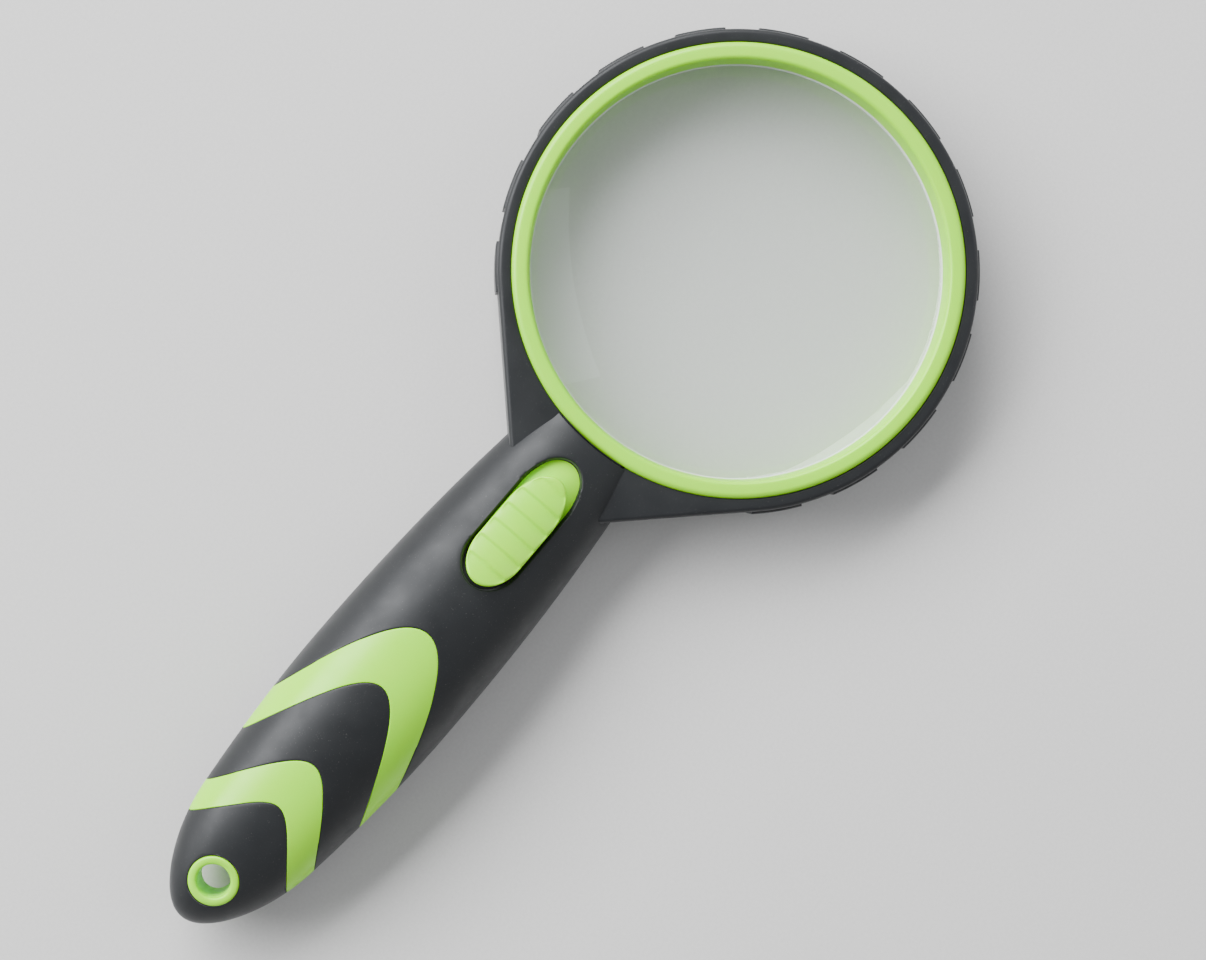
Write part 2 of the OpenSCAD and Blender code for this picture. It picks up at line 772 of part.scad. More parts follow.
plate_t = 0.3;
thin_plate_t = 0.15;
plate_half = 4;
tail_y = 3;
tail_z = 1.8;
tail_h = 1.2;
module contact_spring() {
  x = hx(bay_inner_at);
  color("gold") {
    translate([x - plate_t, -plate_half, cell_z - plate_half])
      cube([plate_t, 2 * plate_half, 2 * plate_half]);
    // Leaf that leans on the first cell
    translate([0, 2, 0]) rotate([90, 0, 0]) linear_extrude(4) polygon([
      [x - plate_t / 2, cell_z - 3], [x - plate_t / 2, cell_z - 2.3],
      [x - spring_space + 0.1, cell_z + 1.6], [x - spring_space + 0.1, cell_z + 0.9]
    ]);
    // Tail that carries the black lead in front of the bay
    translate([x - plate_t, -tail_y - tail_h / 2, cell_z + tail_z])
      cube([plate_t + bay_wall + 0.5, tail_h, tail_h]);
  }
}
module contact_plate() {
  x = hx(bay_inner_at + bay_len);
  color("gold") {
    translate([x, -plate_half, cell_z - plate_half]) cube([thin_plate_t, 2 * plate_half, 2 * plate_half]);
    // Tail that carries the red lead beside the bay
    translate([x, 0, cell_z + tail_z]) cube([thin_plate_t, lead_y + 0.7, tail_h]);
  }
}

// Wire of radius r along a list of points
wire_r = 0.55;
module wire(points, r = wire_r) {
  n = len(points);
  sides = 8;
  function dir(i) = let (d = points[min(i + 1, n - 1)] - points[max(i - 1, 0)]) d / norm(d);
  rings = [for (i = [0:n - 1])
    let (t = dir(i), side = cross(t, abs(t[2]) > 0.9 ? [1, 0, 0] : [0, 0, 1]),
      s = side / norm(side), w = cross(t, s))
    for (k = [0:sides - 1]) points[i] + r * (cos(45 * k) * s + sin(45 * k) * w)];
  polyhedron(points = rings, faces = concat(
    [[for (k = [0:sides - 1]) k]],
    [for (i = [0:n - 2]) for (k = [0:sides - 1])
      let (a = i * sides + k, b = i * sides + (k + 1) % sides)
      each [[a, a + sides, b], [b, a + sides, b + sides]]],
    [[for (k = [sides - 1:-1:0]) (n - 1) * sides + k]]
  ), convexity = 6);
}
lead_y = bay_r + bay_wall + 1.4;
lead_z = cell_z + 1;
tail_mid_z = cell_z + tail_z + tail_h / 2;
board_top = board_z + board_t;
board_end = board_at + board_len;
module lead_red() {
  x = hx(bay_inner_at + bay_len) + thin_plate_t;
  color("red") wire([
    [x + 0.02, lead_y, tail_mid_z], [x + 1.5, lead_y, tail_mid_z - 0.1], [x + 4, lead_y, lead_z + 0.5],
    [x + 7, lead_y, lead_z], [hx(bay_at + 4), lead_y, lead_z],
    [hx(bay_at - 1.6), lead_y - 0.4, lead_z], [hx(bay_at - 3.6), lead_y - 2, lead_z - 0.5],
    [hx(board_end + 0.6), lead_y - 3.2, lead_z - 1.2], [hx(board_end - 2), 5, board_top + 0.6]
  ]);
}
module lead_black() {
  x = hx(bay_at) + 0.5;
  color("black") wire([
    [x + 0.02, -tail_y, tail_mid_z], [x + 1.2, -tail_y, tail_mid_z - 0.1],
    [x + 2.6, -tail_y - 0.3, lead_z + 0.4],
    [hx(board_end + 0.6), -4, lead_z - 1], [hx(board_end - 2), -4.6, board_top + 0.6]
  ]);
}
lamp_lead_y = 0.6;
lamp_lead_r = 0.4;
module lamp_leads() {
  color("white") for (s = [-1, 1])
    wire([
      [hx(board_at + 1.2), s * 3, board_z - 0.45], [hx(board_at - 0.4), s * 1.7, board_z - 0.45],
      [hx(board_at - 2), s * lamp_lead_y, board_z - 0.3], [hx(board_at - 5), s * lamp_lead_y, board_z],
      [hx(lamp_u + 3), s * lamp_lead_y, lamp_board_z - 0.5],
      [hx(lamp_u + 1), s * lamp_lead_y, lamp_board_z - 0.45]
    ], lamp_lead_r);
}

// ---- door and screws ----

module battery_door() {
  color(black) difference() {
    intersection() {
      door_prism(0, door_top_z);
      handle_outer(door_inset);
    }
    for (u = door_screw_u) translate([hx(u), 0, -1]) {
      cylinder(d = door_screw_d + 2 * fit_gap, h = 10);
      cylinder(d = door_screw_head_d + 2 * fit_gap, h = 1 + door_screw_z + door_screw_head_h);
    }
  }
}

// Pan head screw with a cross recess, shank upwards from the seat
recess_len_share = 0.6;
recess_w_share = 0.14;
recess_depth_share = 0.6;
module pan_screw(d, len, head_d, head_h) {
  recess = [head_d * recess_len_share, head_d * recess_w_share, 1 + head_h * recess_depth_share];
  difference() {
    union() {
      cylinder(d = d, h = len);
      translate([0, 0, -head_h]) cylinder(d = head_d, h = head_h);
    }
    for (a = [0, 90]) rotate([0, 0, a])
      translate([-recess[0] / 2, -recess[1] / 2, -head_h - 1]) cube(recess);
  }
}
module door_screws() {
  color("silver") for (u = door_screw_u)
    translate([hx(u), 0, door_screw_z + door_screw_head_h])
      pan_screw(door_screw_d, door_screw_len, door_screw_head_d, door_screw_head_h);
}
module housing_screws() {
  color("silver") screw_places(screw_seat_z) pan_screw(screw_d, screw_len, screw_head_d, screw_head_h);
}

// ---- lanyard eye ----

eye_flare = 0.9;
eye_flare_depth = 1.4;
eye_proud = 0.12;
module lanyard_bush() {
  color(green) difference() {
    intersection() {
      eye_hole(0);
      handle_outer(-eye_proud);
    }
    translate([hx(eye_at), 0, -5]) cylinder(d = eye_bore_d, h = 40);
    translate([hx(eye_at), 0, back_at(eye_at) - eye_flare_depth])
      cylinder(r1 = eye_bore_d / 2, r2 = eye_bore_d / 2 + 2 * eye_flare, h = 2 * eye_flare_depth);
  }
}

lens();
lens_gasket();
rim_frame();
front_bezel();
rear_bezel();
rim_tyre();
upper_shell();
lower_shell();
upper_grip();
lower_grip();
thumb_slide();
slide_carrier();
switch_lever();
slide_switch();
circuit_board();
resistor();
lamp_board();
led_left();
led_right();
lamp_window();
button_cell_1();
button_cell_2();
button_cell_3();
contact_spring();
contact_plate();
lead_red();
lead_black();
lamp_leads();
battery_door();
door_screws();
housing_screws();
lanyard_bush();
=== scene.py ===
"""Looks of a hand lens with a rubber rim, a two-colour grip and a thumb slide."""

import logging
import math
from dataclasses import dataclass
from enum import Enum
from typing import Callable, Sequence

import bmesh
import bpy
from mathutils import Matrix, Vector


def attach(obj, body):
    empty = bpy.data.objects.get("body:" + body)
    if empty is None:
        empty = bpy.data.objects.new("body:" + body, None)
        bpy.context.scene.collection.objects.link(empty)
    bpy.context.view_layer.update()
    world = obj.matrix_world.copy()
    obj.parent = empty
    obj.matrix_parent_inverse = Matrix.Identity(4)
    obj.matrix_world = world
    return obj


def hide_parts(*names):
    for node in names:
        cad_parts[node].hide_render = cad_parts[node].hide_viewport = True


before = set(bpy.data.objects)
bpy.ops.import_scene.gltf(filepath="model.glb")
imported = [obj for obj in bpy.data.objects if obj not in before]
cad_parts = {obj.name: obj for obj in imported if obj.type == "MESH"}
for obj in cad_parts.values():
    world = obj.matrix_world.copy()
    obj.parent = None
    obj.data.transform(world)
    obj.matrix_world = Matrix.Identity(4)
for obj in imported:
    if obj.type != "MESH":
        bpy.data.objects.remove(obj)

logging.basicConfig(level=logging.INFO, format="%(message)s")
LOG = logging.getLogger("hand_lens")

MM = 0.001
PlanPoint = tuple[float, float]
Socket = bpy.types.NodeSocket


class Half(Enum):
    """The two halves of the handle."""

    UPPER = "upper"
    LOWER = "lower"


class Spacing(Enum):
    """How rows are spread between the two ends of a cell."""

    EVEN = "even"
    TAIL = "tail"


class Body(Enum):
    """Moving bodies of the hand lens."""

    LENS = "lens_body"
    SLIDE = "thumb_slide_body"
    DOOR = "door_body"


# ---------------------------------------------------------------- finishes

# Parts of the noise that show as worn patches and as smears
WEAR_BAND = (0.35, 0.72)
SMEAR_BAND = (0.3, 0.7)
# Depth of the slow swell of moulded surfaces, and reach of light inside plastic, in millimetres
SWELL_DEPTH = 0.02
SCATTER = 1.2


def linear_colour(hex_code: str) -> tuple[float, float, float, float]:
    """Turns an sRGB hex colour into the linear values that a shader takes.

    Args:
        hex_code: Six hexadecimal digits.

    Returns:
        Linear red, green, blue and an alpha of 1.
    """
    channels = [int(hex_code[i : i + 2], 16) / 255.0 for i in (0, 2, 4)]
    linear = [c / 12.92 if c <= 0.04045 else ((c + 0.055) / 1.055) ** 2.4 for c in channels]
    return (linear[0], linear[1], linear[2], 1.0)


class NodeBench:
    """Builds the node tree of one material."""

    def __init__(self, name: str) -> None:
        """Starts a material that holds an output and a Principled shader.

        Args:
            name: Name of the material.
        """
        self.material = bpy.data.materials.new(name)
        self.material.use_nodes = True
        self.tree = self.material.node_tree
        self.tree.nodes.clear()
        self.output = self.add("ShaderNodeOutputMaterial")
        self.shader = self.add("ShaderNodeBsdfPrincipled")
        self.tree.links.new(self.shader.outputs["BSDF"], self.output.inputs["Surface"])

    def add(
        self,
        kind: str,
        settings: dict[str, object] | None = None,
        inputs: dict[object, object] | None = None,
    ) -> bpy.types.Node:
        """Adds a node, sets its options and fills or links its inputs.

        Args:
            kind: Type name of the node.
            settings: Options of the node by attribute name.
            inputs: Values, or sockets to link from, by input name or number.

        Returns:
            The new node.
        """
        node = self.tree.nodes.new(kind)
        for option, value in (settings or {}).items():
            setattr(node, option, value)
        for key, value in (inputs or {}).items():
            self.feed(node, key, value)
        return node

    def feed(self, node: bpy.types.Node, key: object, value: object) -> None:
        """Sets or links one input of a node.

        Args:
            node: The node.
            key: Name or number of the input.
            value: A plain value or an output socket.
        """
        if isinstance(value, Socket):
            self.tree.links.new(value, node.inputs[key])
        else:
            node.inputs[key].default_value = value

    def shade(self, inputs: dict[str, object]) -> None:
        """Sets or links inputs of the Principled shader."""
        for key, value in inputs.items():
            self.feed(self.shader, key, value)

    def places(self) -> Socket:
        """Gives the object's own coordinates in millimetres.

        Returns:
            A vector socket.
        """
        source = self.add("ShaderNodeTexCoord").outputs["Object"]
        inputs = {0: source, "Scale": 1.0 / MM}
        return self.add("ShaderNodeVectorMath", {"operation": "SCALE"}, inputs).outputs["Vector"]

    def noise(self, places: Socket, size: float, detail: float = 2.0) -> Socket:
        """Makes cloudy noise."""
        inputs = {"Vector": places, "Scale": 1.0 / size, "Detail": detail}
        return self.add("ShaderNodeTexNoise", None, inputs).outputs["Fac"]

    def span(
        self, value: Socket, source: tuple[float, float], target: tuple[float, float]
    ) -> Socket:
        """Moves a value from one range to another and stops it at the ends.

        Args:
            value: The value.
            source: Range that it comes from.
            target: Range that it goes to.

        Returns:
            A value socket.
        """
        made = self.add(
            "ShaderNodeMapRange",
            None,
            {
                "Value": value, "From Min": source[0], "From Max": source[1],
                "To Min": target[0], "To Max": target[1],
            },
        )
        return made.outputs["Result"]

    def blend(self, share: Socket, first: object, second: object) -> Socket:
        """Mixes two colours."""
        inputs = {0: share, 6: first, 7: second}
        return self.add("ShaderNodeMix", {"data_type": "RGBA"}, inputs).outputs[2]

    def bump(
        self, height: Socket, depth: float, under: Socket | None = None
    ) -> Socket:
        """Raises and lowers the surface in shading.

        Args:
            height: Height from 0 to 1.
            depth: Depth of the relief in millimetres.
            under: Normal of a coarser relief below this one.

        Returns:
            A normal socket.
        """
        inputs = {"Height": height, "Distance": depth * MM, "Strength": 1.0}
        made = self.add("ShaderNodeBump", None, inputs)
        if under is not None:
            self.feed(made, "Normal", under)
        return made.outputs["Normal"]


@dataclass(frozen=True)
class Finish:
    """A plain moulded or pressed surface with grain and uneven gloss.

    Attributes:
        name: Name of the material.
        colour: sRGB hex of the clean surface.
        worn: sRGB hex of the handled patches.
        roughness: Lowest and highest roughness.
        metallic: 1 for bare metal.
        grain: Size of the fine grain in millimetres.
        grain_depth: Depth of the grain in millimetres.
        cloud: Size of the worn patches in millimetres.
        wear: Greatest share of the worn colour.
        subsurface: Share of the light that travels inside the plastic.
    """

    name: str
    colour: str
    worn: str
    roughness: tuple[float, float] = (0.35, 0.45)
    metallic: float = 0.0
    grain: float = 0.25
    grain_depth: float = 0.004
    cloud: float = 14.0
    wear: float = 0.35
    subsurface: float = 0.0

    def build(self) -> bpy.types.Material:
        """Makes the material.

        Returns:
            The finished material.
        """
        bench = NodeBench(self.name)
        places = bench.places()
        patches = bench.noise(places, self.cloud, 3.0)
        share = bench.span(patches, WEAR_BAND, (0.0, self.wear))
        colour = bench.blend(share, linear_colour(self.colour), linear_colour(self.worn))
        colour = self.dress(bench, places, colour)
        smears = bench.noise(places, self.cloud * 0.35, 4.0)
        gloss = bench.span(smears, SMEAR_BAND, self.roughness)
        bench.shade({"Base Color": colour, "Roughness": gloss, "Metallic": self.metallic})
        if self.subsurface > 0:
            bench.shade({"Subsurface Weight": self.subsurface, "Subsurface Scale": SCATTER * MM})
        swell = bench.bump(bench.noise(places, self.cloud * 0.6), SWELL_DEPTH)
        grain = bench.bump(bench.noise(places, self.grain, 1.0), self.grain_depth, swell)
        bench.shade({"Normal": grain})
        self.polish(bench)
        return bench.material

    def dress(
        self, bench: NodeBench, places: Socket, colour: Socket
    ) -> Socket:
        """Adds marks to the colour."""
        return colour

    def polish(self, bench: NodeBench) -> None:
        """Sets what only this finish needs."""


@dataclass(frozen=True)
class RubberFinish(Finish):
    """Soft-touch rubber with fine dust in its grain.

    Attributes:
        dust: sRGB hex of the dust.
        dust_share: Greatest share of the dust.
    """

    dust: str = "6E6C68"
    dust_share: float = 0.5

    def dress(
        self, bench: NodeBench, places: Socket, colour: Socket
    ) -> Socket:
        """Adds specks of dust.

        Args:
            bench: The material's bench.
            places: Coordinates in millimetres.
            colour: Colour so far.

        Returns:
            The dusty colour.
        """
        specks = bench.noise(places, 0.22, 2.0)
        share = bench.span(specks, (0.68, 0.8), (0.0, self.dust_share))
        return bench.blend(share, colour, linear_colour(self.dust))

    def polish(self, bench: NodeBench) -> None:
        """Gives the rubber its soft bloom."""
        bench.shade({"Sheen Weight": 0.12, "Sheen Roughness": 0.45, "Specular IOR Level": 0.42})


@dataclass(frozen=True)
class GlassFinish:
    """Clear glass or plastic, polished.

    Attributes:
        name: Name of the material.
        tint: sRGB hex of the body colour.
        ior: Index of refraction.
        roughness: Lowest and highest roughness.
        shade: sRGB hex of the light that lamps send straight through.
    """

    name: str
    tint: str
    ior: float
    roughness: tuple[float, float] = (0.0, 0.03)
    shade: str = "BCBEBD"

    def build(self) -> bpy.types.Material:
        """Makes the material.

        Returns:
            The finished material.
        """
        bench = NodeBench(self.name)
        places = bench.places()
        smears = bench.span(bench.noise(places, 9.0, 4.0), (0.5, 0.75), self.roughness)
        bench.shade({"Base Color": linear_colour(self.tint), "Roughness": smears})
        bench.shade({"IOR": self.ior, "Transmission Weight": 1.0})
        # Light from the lamps passes to what lies below the glass
        paths = bench.add("ShaderNodeLightPath")
        clear = bench.add("ShaderNodeBsdfTransparent", None, {"Color": linear_colour(self.shade)})
        shown = bench.add(
            "ShaderNodeMixShader",
            None,
            {
                0: paths.outputs["Is Shadow Ray"],
                1: bench.shader.outputs["BSDF"],
                2: clear.outputs["BSDF"],
            },
        )
        bench.tree.links.new(shown.outputs["Shader"], bench.output.inputs["Surface"])
        return bench.material


class Finishes:
    """Every finish on the hand lens, built once."""

    def __init__(self) -> None:
        """Builds the materials."""
        # Thermoplastic rubber moulded over the grip and the rim, matt, with a fine eroded grain
        self.rubber = RubberFinish(
            "soft touch rubber", "101214", "191B1D", (0.44, 0.56),
            grain=0.16, grain_depth=0.006, wear=0.5,
        ).build()
        # Lime ABS, injection moulded, half gloss with faint ripples and handling marks
        self.lime = Finish(
            "lime ABS", "9CF200", "A6F210", (0.3, 0.42),
            grain=0.3, grain_depth=0.0015, wear=0.6, subsurface=0.12,
        ).build()
        # Crown glass, ground and polished on both faces
        self.glass = GlassFinish("polished crown glass", "FBFDFC", 1.52).build()
        # Silicone channel pressed round the edge of the glass, milky white
        self.silicone = Finish(
            "milky silicone", "D9DEDA", "C8CEC9", (0.4, 0.55),
            grain=0.2, grain_depth=0.002, subsurface=0.2,
        ).build()
        # Dark filled nylon of the hidden ring, as moulded
        self.nylon = Finish("dark nylon", "2B2C2E", "35363A", (0.45, 0.55), grain=0.2).build()
        # Black ABS of the battery door, spark eroded texture
        self.door = Finish(
            "black ABS", "222325", "2C2D2F", (0.42, 0.52), grain=0.3, grain_depth=0.012, wear=0.5
        ).build()
        # Clear acrylic window over the lamps
        self.window = GlassFinish("clear acrylic", "F6FAF8", 1.49, (0.02, 0.08)).build()
        # Clear epoxy of the lamp domes, warm with phosphor
        self.lamp = Finish(
            "lamp epoxy", "F2EFC4", "E9E4A8", (0.1, 0.16), grain_depth=0.0005
        ).build()
        # Nickel plated steel of cells and the switch case, drawn and tumbled
        self.nickel = Finish(
            "nickel plate", "C9C8C3", "B2AFA6", (0.22, 0.36), 1.0,
            grain=0.4, grain_depth=0.002, cloud=6.0,
        ).build()
        # Zinc plated screw steel, brushed by the driver
        self.zinc = Finish(
            "zinc plated steel", "B9BBBE", "94938F", (0.28, 0.44), 1.0,
            grain=0.18, grain_depth=0.004, cloud=3.0,
        ).build()
        # Gilt spring brass of the contacts
        self.brass = Finish(
            "gilt brass", "D8B45C", "B98F3E", (0.25, 0.38), 1.0, grain=0.2, grain_depth=0.002, cloud=4.0
        ).build()
        # Green lacquer over the glass cloth of the circuit boards
        self.board = Finish(
            "board lacquer", "1E6B3C", "2A7A48", (0.25, 0.35), grain=0.6, grain_depth=0.01
        ).build()
        # Dull ceramic of the resistor
        self.ceramic = Finish("resistor ceramic", "1D1D20", "2A2A2D", (0.5, 0.6)).build()
        # Polypropylene of the slide's carrier
        self.white = Finish(
            "white polypropylene", "E6E7E4", "D8DAD5", (0.4, 0.5), subsurface=0.1
        ).build()
        # Black acetal of the switch lever
        self.acetal = Finish("black acetal", "18191A", "242526", (0.35, 0.45)).build()
        # Vinyl jackets of the leads
        self.red_vinyl = Finish("red vinyl", "B5241C", "A01D17", (0.35, 0.45)).build()
        self.black_vinyl = Finish("black vinyl", "1B1B1C", "28282A", (0.35, 0.45)).build()
        self.white_vinyl = Finish("white vinyl", "DCDCD6", "CFCFC8", (0.35, 0.45)).build()


# ---------------------------------------------------------------- shared shapes


def lerp(first: float, second: float, share: float) -> float:
    """Goes from the first value to the second."""
    return first + (second - first) * share


def ring_grid(
    bm: bmesh.types.BMesh, count: int, rings: int
) -> list[tuple[bmesh.types.BMVert, int, float]]:
    """Makes a grid to wind into a band, with each vertex's column and share across."""
    made = bmesh.ops.create_grid(bm, x_segments=count, y_segments=rings, size=1.0)["verts"]
    return [(v, round((v.co.x + 1) / 2 * count) % count, (v.co.y + 1) / 2) for v in made]


def bevel_edges(
    bm: bmesh.types.BMesh, edges: Sequence[bmesh.types.BMEdge], radius: float, segments: int, clamp: bool
) -> None:
    """Rounds edges.

    Args:
        bm: Mesh that holds them.
        edges: The edges.
        radius: Radius in millimetres.
        segments: Faces in each rounding.
        clamp: Whether the radius gives way where there is no room.
    """
    bmesh.ops.bevel(
        bm, geom=edges, offset=radius * MM, offset_type="OFFSET", segments=segments, profile=0.5,
        affect="EDGES", clamp_overlap=clamp, material=-1,
    )


def round_corners(corners: Sequence[tuple[float, float, float]], steps: int) -> list[PlanPoint]:
    """Rounds the corners of a closed outline.

    Args:
        corners: Corner points with the radius wanted at each.
        steps: Segments in each rounded corner.

    Returns:
        Points of the rounded outline.
    """
    points: list[PlanPoint] = []
    count = len(corners)
    for index, (x, y, radius) in enumerate(corners):
        corner = Vector((x, y))
        before = (Vector(corners[index - 1][:2]) - corner).normalized()
        after = (Vector(corners[(index + 1) % count][:2]) - corner).normalized()
        if radius <= 0:
            points.append((x, y))
            continue
        half = math.acos(max(-1.0, min(1.0, before.dot(after)))) / 2
        reach = radius / math.tan(half)
        centre = corner + (before + after).normalized() * (radius / math.sin(half))
        start, end = corner + before * reach - centre, corner + after * reach - centre
        turn = math.atan2(start.x * end.y - start.y * end.x, start.dot(end))
        for step in range(steps + 1):
            angle = turn * step / steps
            points.append(
                (
                    centre.x + start.x * math.cos(angle) - start.y * math.sin(angle),
                    centre.y + start.x * math.sin(angle) + start.y * math.cos(angle),
                )
            )
    return points


class Piece:
    """One visible piece of the hand lens while it is being made."""

    def __init__(self, name: str) -> None:
        """Starts with an empty mesh."""
        self.name = name
        self.bm = bmesh.new()

    def spin_outline(
        self,
        outline: Sequence[PlanPoint],
        centre_x: float,
        steps: int,
        start: float = 0.0,
        sweep: float = 360.0,
        closed: bool = True,
    ) -> list[bmesh.types.BMVert]:
        """Turns an outline of radius and height about an upright axis.

        Args:
            outline: Radius and height of each point in millimetres.
            centre_x: Place of the axis along x in millimetres.
            steps: Steps in the turn.
            start: Angle at which the turn starts, in degrees.
            sweep: Angle of the turn in degrees.
            closed: Whether the outline's end joins its start.

        Returns:
            The vertices of the turned shape.
        """
        turn = math.radians(start)
        known = set(self.bm.verts)
        line = [
            self.bm.verts.new(
                ((centre_x + r * math.cos(turn)) * MM, r * math.sin(turn) * MM, z * MM)
            )
            for r, z in outline
        ]
        pairs = list(zip(line, line[1:]))
        if closed:
            pairs.append((line[-1], line[0]))
        edges = [self.bm.edges.new(pair) for pair in pairs]
        full = abs(sweep) >= 360.0
        bmesh.ops.spin(
            self.bm,
            geom=line + edges,
            cent=(centre_x * MM, 0.0, 0.0),
            axis=(0.0, 0.0, 1.0),
            angle=math.radians(sweep),
            steps=steps,
            use_merge=full,
            use_duplicate=False,
        )
        made = [v for v in self.bm.verts if v not in known]
        if not closed:
            bmesh.ops.remove_doubles(self.bm, verts=made, dist=1e-7)
            made = [v for v in self.bm.verts if v not in known]
        return made

    def fold_rim(
        self,
        depth: float,
        radius: float,
        soft: Callable[[Vector], bool] | None = None,
        soft_radius: float = 0.4,
    ) -> None:
        """Turns every open edge inwards by a wall and rounds the corner.

        Args:
            depth: Height of the wall in millimetres.
            radius: Radius of the rounded corner in millimetres.
            soft: Tells whether a place lies on the edge with the larger radius.
            soft_radius: The larger radius in millimetres.
        """
        bmesh.ops.recalc_face_normals(self.bm, faces=self.bm.faces)
        self.bm.normal_update()
        rim = [e for e in self.bm.edges if e.is_boundary]
        rounder = [e for e in rim if soft is not None and all(soft(v.co) for v in e.verts)]
        chosen = set(rounder)
        crisp = [e for e in rim if e not in chosen]
        surface = {v: v.normal.copy() for e in rim for v in e.verts}
        made = bmesh.ops.extrude_edge_only(self.bm, edges=rim)["geom"]
        for vert in (g for g in made if isinstance(g, bmesh.types.BMVert)):
            for edge in vert.link_edges:
                other = edge.other_vert(vert)
                if other in surface:
                    vert.co = other.co - surface[other] * depth * MM
                    break
        for group, size, segments in ((rounder, soft_radius, 4), (crisp, radius, 3)):
            edges = [e for e in group if e.is_valid]
            if edges:
                bevel_edges(self.bm, edges, size, segments, False)

    def finish(self, material: bpy.types.Material, body: Body, slot: str, node: str) -> None:
        """Turns the mesh into an object that rides on a body.

        Args:
            material: Finish of the piece.
            body: Body that it moves with.
            slot: Material slot in the record; not used.
            node: CAD node that it stands for.
        """
        bmesh.ops.recalc_face_normals(self.bm, faces=self.bm.faces)
        for face in self.bm.faces:
            face.smooth = True
        mesh = bpy.data.meshes.new(self.name)
        self.bm.to_mesh(mesh)
        LOG.info("%s: %d faces", self.name, len(self.bm.faces))
        self.bm.free()
        mesh.materials.append(material)
        piece = bpy.data.objects.new(self.name, mesh)
        bpy.context.scene.collection.objects.link(piece)
        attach(piece, body.value)
        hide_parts(node)


# ---------------------------------------------------------------- the ring


@dataclass(frozen=True)
class RingSizes:
    """Sizes of the ring in millimetres.

    Attributes:
        x: Place of the ring's middle.
        mid_z: Height of the middle of the lens.
        rim_low: Underside of the rubber rim.
        rim_high: Top of the rubber rim.
        top: Top of the front bezel.
        sight_r: Radius of the sight hole.
        bezel_r: Outer radius of the bezels.
        rim_inner_r: Inner radius of the rubber.
        rim_r: Outer radius of the rubber.
        pad_r: Outer radius of the grip pads.
        lens_r: Radius of the lens.
        lens_edge: Thickness of the lens at its edge.
        face_r: Radius of the polished faces.
        shoulder: Direction on the rim where a shoulder leaves it, in degrees.
        tip: Place of a shoulder tip from the ring's middle.
        clear_slope: Slope of the sides of the space left for the handle.
        chamfer: Width of the ground edge of the lens.
        gasket_inner_r: Inner radius of the channel.
        gasket_outer_r: Outer radius of the channel.
        gasket_half: Half the height of the channel.
        groove_r: Radius of the groove's floor.
        groove_half: Half the height of the groove.
        bezel_foot: Height of the front bezel's foot.
        sight_top: Top of the upright part of the sight hole.
        flange: Underside of the front bezel's flange.
        skirt_r: Outer radius of the bezel's skirt.
    """

    x: float = 53.4021
    mid_z: float = 7.2
    rim_low: float = 0.8
    rim_high: float = 13.6
    top: float = 14.4
    sight_r: float = 36.6
    bezel_r: float = 39.95
    rim_inner_r: float = 40.0
    rim_r: float = 42.35
    pad_r: float = 42.8
    lens_r: float = 37.5
    lens_edge: float = 2.4
    face_r: float = 200.0
    shoulder: float = 135.0
    tip: PlanPoint = (-50.29, 9.6)
    clear_slope: float = 0.18
    chamfer: float = 0.25
    gasket_inner_r: float = 36.42
    gasket_outer_r: float = 38.28
    gasket_half: float = 2.0
    groove_r: float = 37.55
    groove_half: float = 1.4
    bezel_foot: float = 9.26
    sight_top: float = 10.75
    flange: float = 12.05
    skirt_r: float = 38.2


